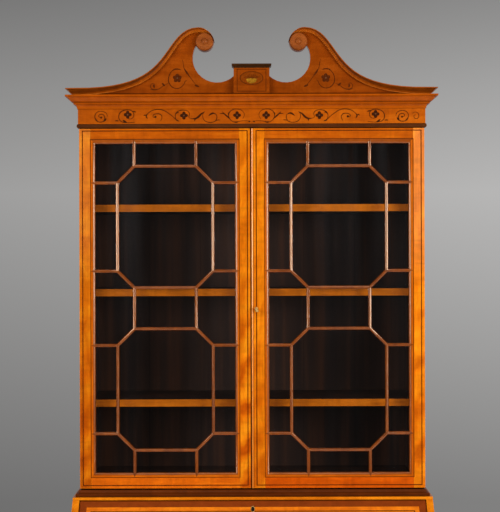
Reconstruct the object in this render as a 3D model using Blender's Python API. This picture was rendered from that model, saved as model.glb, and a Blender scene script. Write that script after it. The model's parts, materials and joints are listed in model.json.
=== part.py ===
"""Bureau bookcase: a glazed bookcase with a swan-neck pediment on a fall-front bureau.

Metres, +Z up, front towards -Y, +X to the viewer's right. The origin is on the floor, in the middle of
the plan. Fixed pieces that touch keep the gap FIT, sliding and turning pieces the gap RUN.
"""
import math

import bmesh
import bpy
from mathutils import Vector

# Gaps
FIT = 0.0003
RUN = 0.0006

# Bookcase carcass, measured without its doors; it stands in from the bureau's sides
BOOK_STEP = 0.017
BOOK_DEPTH = 0.255
BOOK_HEIGHT = 0.974
BOARD = 0.018
BACK_THICK = 0.010
PLINTH = 0.017

# Shelves, as heights of their undersides above the bureau's top
SHELF_UPPER = 0.754
SHELF_MIDDLE = 0.528
SHELF_LOWER = 0.232
SHELF_THICK = 0.019
SHELF_SETBACK = 0.017
GROOVE = 0.006

# Glazed doors
DOOR_THICK = 0.022
DOOR_GAP = 0.0012
DOOR_LIFT = 0.0205
DOOR_HEADROOM = 0.0015
MEETING_LINE = -0.0025
MEETING_GAP = 0.0015
PANEL_INNER = 0.0335
HINGE_STILE = 0.030
TOP_RAIL = 0.028
BOTTOM_RAIL = 0.029
GLASS_THICK = 0.0025
GLASS_LIP = 0.006
MEETING_BEAD_WIDTH = 0.0047
MEETING_BEAD_OUT = 0.003

# Glazing bars: two octagons above each other, tied to the frame, which the margins keep clear of it
BAR_WIDTH = 0.009
BAR_DEPTH = 0.009
BAR_RECESS = 0.001
EDGE_BEAD = 0.0115
OCTAGON_SIDE_MARGIN = 0.07025
OCTAGON_END_MARGIN = 0.071
OCTAGON_CORNER = 0.0445
OCTAGON_DROP = 0.044
OCTAGON_SPACING = 0.109

# Key in the right door
KEY_X = 0.0115
KEY_DROP = 0.0035
KEY_SHANK = 0.0020
KEY_REACH = 0.014
KEY_STEM = 0.009
KEY_COLLAR = 0.0032
KEY_BOW_LENGTH = 0.019
KEY_BOW_WIDTH = 0.015
KEY_BOW_THICK = 0.0028
KEY_BOW_RIM = 0.0030
KEY_TILT = math.radians(45)

# Frieze and cornice
FRIEZE_OUT = 0.003
FRIEZE_HEIGHT = 0.0745
FRIEZE_BOARD = 0.018
FRIEZE_BEAD_HEIGHT = 0.0105
FRIEZE_BEAD_OUT = 0.003
FRIEZE_BEAD_SEAT = 0.030
CORNICE_HEIGHT = 0.0345
CORNICE_OUT = 0.030

# Pediment; heights are above the cornice, widths are from the centre line
PEDIMENT_BOARD = 0.020
CREST_X = 0.140
CREST_HEIGHT = 0.1766
CREST_RADIUS = 0.043
CREST_END = math.radians(168)
NECK_X = 0.229
NECK_HEIGHT = 0.1034
NECK_SLOPE = math.radians(53)
CREST_PULL = 0.045
NECK_PULL_UP = 0.040
NECK_PULL_DOWN = 0.060
TAIL_HEIGHT = 0.0172
TAIL_PULL = 0.150
RAKE_WIDTH = 0.0165
RAKE_NECK = 0.0095
RAKE_OUT = 0.029
ROSETTE_X = 0.1237
ROSETTE_HEIGHT = 0.141
ROSETTE_RADIUS = 0.024
ROSETTE_OUT = 0.017
CUTOUT_X = 0.091
CUTOUT_HEIGHT = 0.0992
CUTOUT_RADIUS = 0.065
PEDESTAL_WIDTH = 0.0945
PEDESTAL_HEIGHT = 0.0707
PEDESTAL_OUT = 0.014
PEDESTAL_TONGUE = 0.002
CAP_HEIGHT = 0.0105
CAP_OUT = 0.005

# Bureau
BUREAU_WIDTH = 0.948
BUREAU_HEIGHT = 1.020
BUREAU_SIDE = 0.018
TOP_THICK = 0.018
TOP_EDGE = 0.0067
TOP_LEDGE = 0.020
WAIST_HEIGHT = 0.0165
WAIST_OUT = 0.0105
WRITING_HEIGHT = 0.750
RAIL_THICK = 0.018

# Fall, hinged along the front edge of the writing bed
FALL_SLOPE = math.radians(50)
FALL_THICK = 0.020
FALL_GAP = 0.001
FALL_TIP = 0.001
FALL_ROUND = 0.004

# Lopers, drawers and their openings
LOPER_WIDTH = 0.024
LOPER_BACK_GAP = 0.123
GUIDE_THICK = 0.012
OPENING_1 = 0.133
OPENING_2 = 0.190
DRAWER_BACK_GAP = 0.063
DRAWER_FRONT = 0.020
DRAWER_SIDE = 0.010
DRAWER_BOTTOM = 0.008
DRAWER_HEADROOM = 0.0015
COCKBEAD = 0.0035
COCKBEAD_OUT = 0.0025
KNOB_RADIUS = 0.013
KNOB_OUT = 0.024
KNOB_INSET = 0.224
LOPER_KNOB_RADIUS = 0.008
LOPER_KNOB_OUT = 0.015

# Pigeonholes
NEST_DEPTH = 0.205
NEST_WALL = 0.008
NEST_CENTRE = 0.170
NEST_LOW_ROW = 0.070
NEST_COLUMNS = 3

# Base with bracket feet
BASE_HEIGHT = 0.135
BASE_BOARD = 0.018
BASE_OUT = 0.006
BASE_LIP = 0.006
APRON_THICK = 0.020
APRON_DROP = 0.040
FOOT_WIDTH = 0.060
FOOT_SWEEP = 0.055

# Hinges of the doors and of the fall
HINGE_LENGTH = 0.050
HINGE_INSET = 0.120
HINGE_BARREL = 0.0020
HINGE_PIN = 0.0009
HINGE_LEAF = 0.015
HINGE_LEAF_THICK = 0.0015
HINGE_CLEAR = 0.0004
FALL_HINGE_INSET = 0.126
ROUND = 16

# Levels and planes that follow from the sizes above
BOOK_WIDTH = BUREAU_WIDTH - 2 * BOOK_STEP
FRIEZE_WIDTH = BOOK_WIDTH + 2 * FRIEZE_OUT
CARCASS_TOP = BUREAU_HEIGHT + BOOK_HEIGHT
BEAD_TOP = CARCASS_TOP + FIT + FRIEZE_BEAD_HEIGHT
CORNICE_TOP = BEAD_TOP + FIT + FRIEZE_HEIGHT
PEDIMENT_BASE = CORNICE_TOP + FIT
LIP_HEIGHT = BUREAU_HEIGHT - TOP_EDGE
TOP_UNDER = BUREAU_HEIGHT - TOP_THICK
BED_UNDER = WRITING_HEIGHT - FALL_THICK
UPPER_RAIL_TOP = BED_UNDER - OPENING_1
LOWER_RAIL_TOP = UPPER_RAIL_TOP - RAIL_THICK - OPENING_2
SLOPE_Y = math.cos(FALL_SLOPE)
SLOPE_Z = math.sin(FALL_SLOPE)
FALL_RUN = (LIP_HEIGHT - WRITING_HEIGHT) / math.tan(FALL_SLOPE) - FALL_THICK / SLOPE_Z
TOP_DEPTH = BOOK_DEPTH + DOOR_GAP + DOOR_THICK + TOP_LEDGE
BUREAU_DEPTH = TOP_DEPTH + FALL_RUN
BACK = (BUREAU_DEPTH + KNOB_OUT) / 2
BACK_INNER = BACK - BACK_THICK
CARCASS_FRONT = BACK - BOOK_DEPTH
DOOR_BACK = CARCASS_FRONT - DOOR_GAP
DOOR_FRONT = DOOR_BACK - DOOR_THICK
TOP_FRONT = BACK - TOP_DEPTH
FRONT = BACK - BUREAU_DEPTH
BUREAU_INNER = BUREAU_WIDTH / 2 - BUREAU_SIDE
BOOK_INNER = BOOK_WIDTH / 2 - BOARD
DOOR_BOTTOM = BUREAU_HEIGHT + DOOR_LIFT
DOOR_TOP = CARCASS_TOP - DOOR_HEADROOM
PANEL_BOTTOM = DOOR_BOTTOM + BOTTOM_RAIL
PANEL_TOP = DOOR_TOP - TOP_RAIL
PANEL_OUTER = BOOK_WIDTH / 2 - HINGE_STILE
OCTAGON_WIDTH = PANEL_OUTER - PANEL_INNER - 2 * OCTAGON_SIDE_MARGIN
OCTAGON_HEIGHT = (PANEL_TOP - PANEL_BOTTOM - 2 * OCTAGON_END_MARGIN - OCTAGON_SPACING) / 2
GLASS_FRONT = DOOR_FRONT + BAR_RECESS + BAR_DEPTH + FIT
KEY_LEVEL = (DOOR_BOTTOM + DOOR_TOP) / 2 - KEY_DROP
LOPER_LENGTH = BUREAU_DEPTH - BACK_THICK - LOPER_BACK_GAP
DRAWER_LENGTH = BUREAU_DEPTH - BACK_THICK - DRAWER_BACK_GAP
SIDES = {"left": -1, "right": 1}

# Base colour, roughness and metallic value of each finish
FINISHES = {
    "satinwood": ((0.62, 0.20, 0.025, 1), 0.28, 0.0),
    "mahogany": ((0.16, 0.045, 0.010, 1), 0.32, 0.0),
    "bead_wood": ((0.28, 0.085, 0.020, 1), 0.30, 0.0),
    "carcass_wood": ((0.20, 0.085, 0.030, 1), 0.55, 0.0),
    "brass": ((0.72, 0.50, 0.18, 1), 0.30, 1.0),
    "glass": ((0.60, 0.66, 0.66, 1), 0.05, 0.0),
}


def make_finish(name):
    """A Principled material for one finish."""
    colour, roughness, metallic = FINISHES[name]
    material = bpy.data.materials.new(name)
    material.use_nodes = True
    shader = material.node_tree.nodes["Principled BSDF"]
    shader.inputs["Base Color"].default_value = colour
    shader.inputs["Roughness"].default_value = roughness
    shader.inputs["Metallic"].default_value = metallic
    material.diffuse_color = colour
    return material


def make_object(name, bm, parent):
    """Turn a mesh in world coordinates into an object, under a parent empty if it has one."""
    bmesh.ops.recalc_face_normals(bm, faces=bm.faces)
    if parent:
        bmesh.ops.translate(bm, verts=bm.verts, vec=-parent.location)
    mesh = bpy.data.meshes.new(name)
    bm.to_mesh(mesh)
    bm.free()
    piece = bpy.data.objects.new(name, mesh)
    bpy.context.scene.collection.objects.link(piece)
    piece.parent = parent
    return piece


def add(name, bm, finish, parent=None, smooth=False):
    """Add one sub-part with its finish."""
    piece = make_object(name, bm, parent)
    piece.data.materials.append(MATERIALS[finish])
    if smooth:
        piece.data.shade_smooth()
        piece.data.set_sharp_from_angle(angle=math.radians(35))
    return piece


def combine(piece, operation, bm):
    """Cut a hidden tool body out of a piece, or join one to it."""
    tool = make_object(f"{piece.name}_tool_{len(piece.modifiers)}", bm, piece.parent)
    tool.hide_render = True
    tool.display_type = "WIRE"
    modifier = piece.modifiers.new(operation.lower(), "BOOLEAN")
    modifier.operation = operation
    modifier.solver = "EXACT"
    modifier.object = tool


def axis_empty(name, place):
    """An empty on a joint's axis, which carries the moving pieces."""
    empty = bpy.data.objects.new(name, None)
    bpy.context.scene.collection.objects.link(empty)
    empty.location = place
    return empty


def loft(bm, rings, closed_ends=True):
    """Skin a list of rings of equally many points, with a cap at each end."""
    loops = [[bm.verts.new(point) for point in ring] for ring in rings]
    count = len(loops[0])
    for first, second in zip(loops, loops[1:]):
        for i in range(count):
            j = (i + 1) % count
            bm.faces.new((first[i], first[j], second[j], second[i]))
    if closed_ends:
        bm.faces.new(loops[0])
        bm.faces.new(loops[-1])
    return bm


def box(lo, hi, bm=None):
    """A box between two corners."""
    bm = bm or bmesh.new()
    rings = []
    for z in (lo[2], hi[2]):
        rings.append([(lo[0], lo[1], z), (hi[0], lo[1], z), (hi[0], hi[1], z), (lo[0], hi[1], z)])
    return loft(bm, rings)


def prism_x(outline, start, end):
    """An outline of (y, z) points run along X."""
    return loft(bmesh.new(), [[(x, y, z) for y, z in outline] for x in (start, end)])


def prism_y(outline, start, end, bm=None):
    """An outline of (x, z) points run along Y."""
    return loft(bm or bmesh.new(), [[(x, y, z) for x, z in outline] for y in (start, end)])


def prism_z(outline, start, end):
    """An outline of (x, y) points run along Z."""
    return loft(bmesh.new(), [[(x, y, z) for x, y in outline] for z in (start, end)])


def cylinder(bm, start, end, radius, count=ROUND):
    """A round bar between two points on its axis."""
    start = Vector(start)
    end = Vector(end)
    along = (end - start).normalized()
    side = along.orthogonal().normalized()
    up = along.cross(side)
    rings = []
    for centre in (start, end):
        ring = []
        for i in range(count):
            angle = 2 * math.pi * i / count
            ring.append(centre + radius * (math.cos(angle) * side + math.sin(angle) * up))
        rings.append(ring)
    return loft(bm, rings)


def turned(bm, centre, profile, count=ROUND):
    """Turn a profile of (radius, distance towards -Y) points about an axis through the centre."""
    x, y, z = centre
    rings = []
    for radius, out in profile:
        ring = []
        for i in range(count):
            angle = 2 * math.pi * i / count
            ring.append((x + radius * math.cos(angle), y - out, z + radius * math.sin(angle)))
        rings.append(ring)
    return loft(bm, rings)


def arc(centre, radius, start, end, steps):
    """Points along a circle between two angles, with both ends."""
    points = []
    for i in range(steps + 1):
        angle = start + (end - start) * i / steps
        points.append((centre[0] + radius * math.cos(angle), centre[1] + radius * math.sin(angle)))
    return points


def bezier(p0, p1, p2, p3, steps):
    """Points along a cubic curve, without its first end."""
    points = []
    for i in range(1, steps + 1):
        t = i / steps
        s = 1 - t
        weights = (s ** 3, 3 * s * s * t, 3 * s * t * t, t ** 3)
        corners = (p0, p1, p2, p3)
        points.append(tuple(sum(w * p[k] for w, p in zip(weights, corners)) for k in (0, 1)))
    return points


def cyma(start, end, steps=6):
    """An S-shaped moulding curve between two (out, z) points, flat along its ends."""
    points = []
    for i in range(steps + 1):
        t = i / steps
        out = start[0] + (end[0] - start[0]) * t
        drop = start[1] + (end[1] - start[1]) * (t - math.sin(2 * math.pi * t) / (2.6 * math.pi))
        points.append((out, drop))
    return points


def wrap_moulding(profile, half_width, front):
    """Run (side out, front out, z) points round the left side, the front and the right side."""
    left_back = [(-half_width - side, BACK, z) for side, _, z in profile]
    left_front = [(-half_width - side, front - out, z) for side, out, z in profile]
    right_front = [(half_width + side, front - out, z) for side, out, z in profile]
    right_back = [(half_width + side, BACK, z) for side, _, z in profile]
    return loft(bmesh.new(), [left_back, left_front, right_front, right_back])


def mirrored(sign, near, far):
    """The ordered pair of X limits of a piece on one side."""
    return (near, far) if sign > 0 else (-far, -near)


# Hinges

def frame_box(bm, origin, axis, along, into, spans):
    """A box in the frame of a hinge, from its spans along the axis, the leaf and into the board."""
    rings = []
    for a in spans[0]:
        ring = []
        for d, n in ((0, 0), (1, 0), (1, 1), (0, 1)):
            ring.append(origin + a * axis + spans[1][d] * along + spans[2][n] * into)
        rings.append(ring)
    return loft(bm, rings)


class Hinge:
    """A butt hinge: leaf directions are from the axis along the leaf and into the board under it."""

    def __init__(self, origin, axis, sunk):
        self.origin = Vector(origin)
        self.axis = Vector(axis)
        self.sunk = sunk
        half = HINGE_LENGTH / 2
        third = HINGE_LENGTH / 6
        self.whole = (-half, half)
        self.fixed_knuckles = ((-half, -third - FIT), (third + FIT, half))
        self.moving_knuckles = ((-third, third),)

    def barrel(self, bm, span, radius):
        start = self.origin + span[0] * self.axis
        end = self.origin + span[1] * self.axis
        return cylinder(bm, start, end, radius, 12)

    def leaf(self, name, along, into, knuckles, parent=None):
        """A leaf with its knuckles; the leaf stops short of the barrel between them."""
        along = Vector(along)
        into = Vector(into)
        depth = (self.sunk, self.sunk + HINGE_LEAF_THICK)
        reach = HINGE_BARREL + HINGE_CLEAR
        plate = frame_box(bmesh.new(), self.origin, self.axis, along, into,
                          (self.whole, (reach, HINGE_LEAF), depth))
        piece = add(name, plate, "brass", parent)
        necks = bmesh.new()
        barrels = bmesh.new()
        for span in knuckles:
            frame_box(necks, self.origin, self.axis, along, into, (span, (0, 2 * reach), depth))
            self.barrel(barrels, span, HINGE_BARREL)
        combine(piece, "UNION", necks)
        combine(piece, "UNION", barrels)
        return piece

    def make(self, name, fixed_way, moving_way, parent):
        """Both leaves; the pin belongs to the fixed leaf."""
        fixed = self.leaf(f"{name}_fixed_leaf", *fixed_way, self.fixed_knuckles)
        inner = (self.fixed_knuckles[0][0] + FIT, self.fixed_knuckles[1][1] - FIT)
        combine(fixed, "UNION", self.barrel(bmesh.new(), inner, HINGE_PIN))
        moving = self.leaf(f"{name}_moving_leaf", *moving_way, self.moving_knuckles, parent)
        combine(moving, "DIFFERENCE", self.barrel(bmesh.new(), self.whole, HINGE_PIN + FIT))

    def leaf_pocket(self, bm, along, into):
        """The recess in a board for one leaf."""
        span = (self.whole[0] - FIT, self.whole[1] + FIT)
        depth = (-HINGE_BARREL, self.sunk + HINGE_LEAF_THICK + FIT)
        reach = (-2 * HINGE_BARREL, HINGE_LEAF + FIT)
        frame_box(bm, self.origin, self.axis, Vector(along), Vector(into), (span, reach, depth))

    def barrel_pocket(self, bm):
        """The hollow in a board round the barrel."""
        span = (self.whole[0] - HINGE_CLEAR, self.whole[1] + HINGE_CLEAR)
        self.barrel(bm, span, HINGE_BARREL + HINGE_CLEAR)


def sink_hinges(board, hinges, way):
    """Cut the recesses of several hinges into a board."""
    leaves = bmesh.new()
    barrels = bmesh.new()
    for hinge in hinges:
        hinge.leaf_pocket(leaves, *way)
        hinge.barrel_pocket(barrels)
    combine(board, "DIFFERENCE", leaves)
    combine(board, "DIFFERENCE", barrels)


def door_hinges(sign):
    """The two hinges of one door, on the outer edge between door and carcass."""
    middle = DOOR_BACK + DOOR_GAP / 2
    levels = (DOOR_BOTTOM + HINGE_INSET, DOOR_TOP - HINGE_INSET)
    return [Hinge((sign * BOOK_WIDTH / 2, middle, z), (0, 0, 1), DOOR_GAP / 2) for z in levels]


def fall_hinges():
    """The two hinges of the fall, on the front edge of the writing bed."""
    place = BUREAU_INNER - FALL_HINGE_INSET
    return [Hinge((x, FRONT, WRITING_HEIGHT), (1, 0, 0), 0) for x in (-place, place)]


# Bookcase carcass

def shelf_levels():
    return {"upper": SHELF_UPPER, "middle": SHELF_MIDDLE, "lower": SHELF_LOWER}


def build_bookcase_sides():
    shelf_front = CARCASS_FRONT + SHELF_SETBACK
    for side, sign in SIDES.items():
        x0, x1 = mirrored(sign, BOOK_INNER, BOOK_WIDTH / 2)
        board = box((x0, CARCASS_FRONT, BUREAU_HEIGHT + FIT), (x1, BACK, CARCASS_TOP))
        piece = add(f"bookcase_side_{side}", board, "satinwood")
        grooves = bmesh.new()
        g0, g1 = mirrored(sign, BOOK_INNER - GROOVE, BOOK_INNER + GROOVE)
        for level in shelf_levels().values():
            bottom = BUREAU_HEIGHT + level
            box((g0, shelf_front - FIT, bottom - FIT),
                (g1, BACK_INNER, bottom + SHELF_THICK + FIT), grooves)
        combine(piece, "DIFFERENCE", grooves)
        sink_hinges(piece, door_hinges(sign), ((-sign, 0, 0), (0, 1, 0)))


def build_bookcase_boards():
    half = BOOK_INNER - FIT
    rear = BACK_INNER - FIT
    add("bookcase_top", box((-half, CARCASS_FRONT, CARCASS_TOP - BOARD), (half, rear, CARCASS_TOP)),
        "carcass_wood")
    floor = BUREAU_HEIGHT + PLINTH
    add("bookcase_bottom", box((-half, CARCASS_FRONT, floor), (half, rear, floor + BOARD)),
        "carcass_wood")
    add("bookcase_back", box((-half, BACK_INNER, BUREAU_HEIGHT + FIT), (half, BACK, BEAD_TOP)),
        "carcass_wood")
    reach = BOOK_INNER + GROOVE - FIT
    for name, level in shelf_levels().items():
        bottom = BUREAU_HEIGHT + level
        add(f"shelf_{name}", box((-reach, CARCASS_FRONT + SHELF_SETBACK, bottom),
                                 (reach, rear, bottom + SHELF_THICK)), "satinwood")


# Frieze, cornice and pediment

def build_frieze():
    half = FRIEZE_WIDTH / 2
    bottom = BEAD_TOP + FIT
    piece = add("frieze", box((-half, DOOR_FRONT, bottom), (half, BACK, CORNICE_TOP)), "satinwood")
    inner = half - FRIEZE_BOARD
    hollow = box((-inner, DOOR_FRONT + FRIEZE_BOARD, bottom - BOARD),
                 (inner, BACK - FRIEZE_BOARD, CORNICE_TOP + BOARD))
    combine(piece, "DIFFERENCE", hollow)

    bead_bottom = CARCASS_TOP + FIT
    radius = FRIEZE_BEAD_HEIGHT / 2
    seat = (BOOK_INNER - half, -FRIEZE_BEAD_SEAT)
    profile = [(*seat, bead_bottom)]
    for x, z in arc((0, bead_bottom + radius), radius, -math.pi / 2, math.pi / 2, 6):
        out = x * FRIEZE_BEAD_OUT / radius
        profile.append((out, out, z))
    profile.append((*seat, BEAD_TOP))
    add("frieze_bead", wrap_moulding(profile, half, DOOR_FRONT), "mahogany", smooth=True)


def build_cornice():
    """A top fillet, a cyma, a narrow fillet and a cove."""
    top_fillet = CORNICE_HEIGHT * 0.14
    cyma_foot = CORNICE_HEIGHT * 0.50
    fillet_foot = CORNICE_HEIGHT * 0.68
    cove_foot = CORNICE_HEIGHT * 0.95
    quirk = CORNICE_OUT * 0.11
    waist = CORNICE_OUT * 0.45
    neck = CORNICE_OUT * 0.07
    profile = [(FIT, 0), (CORNICE_OUT, 0), (CORNICE_OUT, -top_fillet)]
    profile += cyma((CORNICE_OUT - quirk, -top_fillet), (waist, -cyma_foot))
    profile += [(waist - quirk, -cyma_foot), (waist - quirk, -fillet_foot)]
    for i in range(5):
        angle = math.pi / 2 * i / 4
        out = neck + (waist - 2 * quirk - neck) * (1 - math.sin(angle))
        drop = fillet_foot + (cove_foot - fillet_foot) * (1 - math.cos(angle))
        profile.append((out, -drop))
    profile += [(neck, -CORNICE_HEIGHT), (FIT, -CORNICE_HEIGHT)]
    points = [(out, out, CORNICE_TOP + z) for out, z in profile]
    add("cornice", wrap_moulding(points, FRIEZE_WIDTH / 2, DOOR_FRONT), "satinwood", smooth=True)


def swan_neck():
    """The top outline of the right half: scroll end, crest, neck and tail, as (x, z) points."""
    crest = (CREST_X, PEDIMENT_BASE + CREST_HEIGHT - CREST_RADIUS)
    neck = (NECK_X, PEDIMENT_BASE + NECK_HEIGHT)
    tail = (FRIEZE_WIDTH / 2, PEDIMENT_BASE + TAIL_HEIGHT)
    way = (math.cos(NECK_SLOPE), -math.sin(NECK_SLOPE))
    top = (CREST_X, PEDIMENT_BASE + CREST_HEIGHT)
    points = arc(crest, CREST_RADIUS, CREST_END, math.pi / 2, 8)
    points += bezier(top, (top[0] + CREST_PULL, top[1]),
                     (neck[0] - NECK_PULL_UP * way[0], neck[1] - NECK_PULL_UP * way[1]), neck, 8)
    points += bezier(neck, (neck[0] + NECK_PULL_DOWN * way[0], neck[1] + NECK_PULL_DOWN * way[1]),
                     (tail[0] - TAIL_PULL, tail[1]), tail, 12)
    return points


def rosette_centre():
    return (ROSETTE_X, PEDIMENT_BASE + ROSETTE_HEIGHT)


def circle_meeting(c0, r0, c1, r1):
    """The upper right point where two circles cross."""
    dx = c1[0] - c0[0]
    dz = c1[1] - c0[1]
    gap = math.hypot(dx, dz)
    along = (r0 * r0 - r1 * r1 + gap * gap) / (2 * gap)
    across = math.sqrt(r0 * r0 - along * along)
    middle = (c0[0] + along * dx / gap, c0[1] + along * dz / gap)
    options = [(middle[0] - s * across * dz / gap, middle[1] + s * across * dx / gap) for s in (-1, 1)]
    return max(options)


def build_pediment_board():
    """One board whose outline runs down the tail, round the scroll and through the cut-out."""
    rosette = rosette_centre()
    cutout = (CUTOUT_X, PEDIMENT_BASE + CUTOUT_HEIGHT)
    meeting = circle_meeting(cutout, CUTOUT_RADIUS, rosette, ROSETTE_RADIUS)
    scroll_end = math.atan2(meeting[1] - rosette[1], meeting[0] - rosette[0]) + 2 * math.pi
    cut_start = math.atan2(meeting[1] - cutout[1], meeting[0] - cutout[0])
    tongue = PEDESTAL_WIDTH / 2 - PEDESTAL_TONGUE
    cut_end = -math.acos((tongue - cutout[0]) / CUTOUT_RADIUS)
    outline = swan_neck()
    outline.reverse()
    outline += arc(rosette, ROSETTE_RADIUS, CREST_END + math.radians(8), scroll_end, 12)
    outline += arc(cutout, CUTOUT_RADIUS, cut_start, cut_end, 14)[1:]
    outline.append((tongue, PEDIMENT_BASE + PEDESTAL_HEIGHT))
    right = [(FRIEZE_WIDTH / 2, PEDIMENT_BASE)] + outline
    left = [(-x, z) for x, z in reversed(right)]
    board = prism_y(right + left, DOOR_FRONT, DOOR_FRONT + PEDIMENT_BOARD)
    add("pediment_board", board, "satinwood", smooth=True)


def rake_profile():
    """The raking moulding's section as shares of its width down and of its projection."""
    section = [(0, 0), (0, 1), (0.15, 1)]
    section += [(down, share) for share, down in cyma((0.94, 0.17), (0.40, 0.88), 5)]
    section += [(0.89, 0.34), (1, 0.34), (1, 0)]
    return section


def rake_width(point, inward):
    """The moulding's width: it widens towards the tail, and the rosette under it narrows it."""
    run = (point[0] - CREST_X) / (FRIEZE_WIDTH / 2 - CREST_X)
    full = RAKE_NECK + (RAKE_WIDTH - RAKE_NECK) * max(run, 0)
    rosette = rosette_centre()
    radius = ROSETTE_RADIUS + FIT
    dx = point[0] - rosette[0]
    dz = point[1] - rosette[1]
    half = dx * inward[0] + dz * inward[1]
    inside = half * half - (dx * dx + dz * dz - radius * radius)
    if inside <= 0 or half >= 0:
        return full
    return min(full, -half - math.sqrt(inside))


def build_swan_necks():
    """Sweep the moulding down each half of the pediment and back along its side."""
    points = swan_neck()
    face = DOOR_FRONT - FIT
    for side, sign in SIDES.items():
        rings = []
        for i, point in enumerate(points):
            before = points[max(i - 1, 0)]
            after = points[min(i + 1, len(points) - 1)]
            length = math.hypot(after[0] - before[0], after[1] - before[1])
            inward = ((after[1] - before[1]) / length, -(after[0] - before[0]) / length)
            last = i == len(points) - 1
            if last:
                inward = (0, -1)
            width = rake_width(point, inward)
            out = RAKE_OUT * (0.45 + 0.55 * width / RAKE_WIDTH)
            ring = []
            for down, share in rake_profile():
                x = point[0] + down * width * inward[0] + (share * out + FIT if last else 0)
                z = point[1] + down * width * inward[1]
                ring.append((sign * x, face - share * out, z))
            rings.append(ring)
        rings.append([(x, BACK, z) for x, _, z in rings[-1]])
        add(f"swan_neck_moulding_{side}", loft(bmesh.new(), rings), "satinwood", smooth=True)


def build_rosettes():
    """Turned discs with a rounded rim, a dished face and a small button."""
    x, z = rosette_centre()
    shares = [(1, 0), (1, 0.45), (0.97, 0.66), (0.90, 0.80), (0.82, 0.84), (0.62, 0.76), (0.40, 0.72),
              (0.34, 0.74), (0.30, 0.86), (0.20, 0.96), (0.05, 1)]
    profile = [(ROSETTE_RADIUS * radius, ROSETTE_OUT * out) for radius, out in shares]
    for side, sign in SIDES.items():
        disc = turned(bmesh.new(), (sign * x, DOOR_FRONT - FIT, z), profile, 28)
        add(f"rosette_{side}", disc, "satinwood", smooth=True)


def build_pedestal():
    half = PEDESTAL_WIDTH / 2
    top = PEDIMENT_BASE + PEDESTAL_HEIGHT
    front = DOOR_FRONT - FIT - PEDESTAL_OUT
    add("pedestal_block", box((-half, front, PEDIMENT_BASE), (half, DOOR_FRONT - FIT, top)), "satinwood")
    rings = []
    rear = DOOR_FRONT + PEDIMENT_BOARD
    for out, rise in ((0, 0), (0.12, 0.20), (0.45, 0.42), (0.85, 0.52), (1, 0.60), (1, 1)):
        d = CAP_OUT * out
        z = top + FIT + CAP_HEIGHT * rise
        rings.append([(-half - d, front - d, z), (half + d, front - d, z),
                      (half + d, rear, z), (-half - d, rear, z)])
    add("pedestal_cap", loft(bmesh.new(), rings), "mahogany")


# Doors

def pane_outlines(left, right):
    """The fifteen panes between bar centre lines; edges on the frame are marked True."""
    middle = (left + right) / 2
    o0, o1 = middle - OCTAGON_WIDTH / 2, middle + OCTAGON_WIDTH / 2
    f0, f1 = o0 + OCTAGON_CORNER, o1 - OCTAGON_CORNER
    bottom, top = PANEL_BOTTOM + FIT, PANEL_TOP - FIT
    low = PANEL_BOTTOM + OCTAGON_END_MARGIN
    high = low + OCTAGON_HEIGHT + OCTAGON_SPACING
    panes = []
    for base in (low, high):
        crown = base + OCTAGON_HEIGHT
        j0, j1 = base + OCTAGON_DROP, crown - OCTAGON_DROP
        panes.append([(f0, base), (f1, base), (o1, j0), (o1, j1),
                      (f1, crown), (f0, crown), (o0, j1), (o0, j0)])
        panes.append([(left, j0), (o0, j0), (o0, j1), (left, j1)])
        panes.append([(o1, j0), (right, j0), (right, j1), (o1, j1)])
    j0 = low + OCTAGON_DROP
    panes.append([(left, bottom), (f0, bottom), (f0, low), (o0, j0), (left, j0)])
    panes.append([(f0, bottom), (f1, bottom), (f1, low), (f0, low)])
    panes.append([(f1, bottom), (right, bottom), (right, j0), (o1, j0), (f1, low)])
    crown = low + OCTAGON_HEIGHT
    j1, j0 = crown - OCTAGON_DROP, high + OCTAGON_DROP
    panes.append([(left, j1), (o0, j1), (f0, crown), (f0, high), (o0, j0), (left, j0)])
    panes.append([(f0, crown), (f1, crown), (f1, high), (f0, high)])
    panes.append([(o1, j1), (right, j1), (right, j0), (o1, j0), (f1, high), (f1, crown)])
    crown = high + OCTAGON_HEIGHT
    j1 = crown - OCTAGON_DROP
    panes.append([(left, j1), (o0, j1), (f0, crown), (f0, top), (left, top)])
    panes.append([(f0, crown), (f1, crown), (f1, top), (f0, top)])
    panes.append([(o1, j1), (right, j1), (right, top), (f1, top), (f1, crown)])
    return panes


def on_frame(a, b, left, right):
    """Whether the edge from a to b lies on the door frame."""
    tiny = FIT / 10
    for k, limits in ((0, (left, right)), (1, (PANEL_BOTTOM + FIT, PANEL_TOP - FIT))):
        for limit in limits:
            if abs(a[k] - limit) < tiny and abs(b[k] - limit) < tiny:
                return True
    return False


def inset(outline, widths):
    """Move each edge of a pane inwards by its own width and cut the corners again."""
    count = len(outline)
    lines = []
    for i in range(count):
        a = Vector(outline[i])
        b = Vector(outline[(i + 1) % count])
        way = (b - a).normalized()
        inward = Vector((-way.y, way.x))
        lines.append((a + widths[i] * inward, way))
    corners = []
    for i in range(count):
        p, u = lines[i - 1]
        q, v = lines[i]
        turn = u.x * v.y - u.y * v.x
        t = ((q - p).x * v.y - (q - p).y * v.x) / turn
        corners.append(p + t * u)
    return corners


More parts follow.
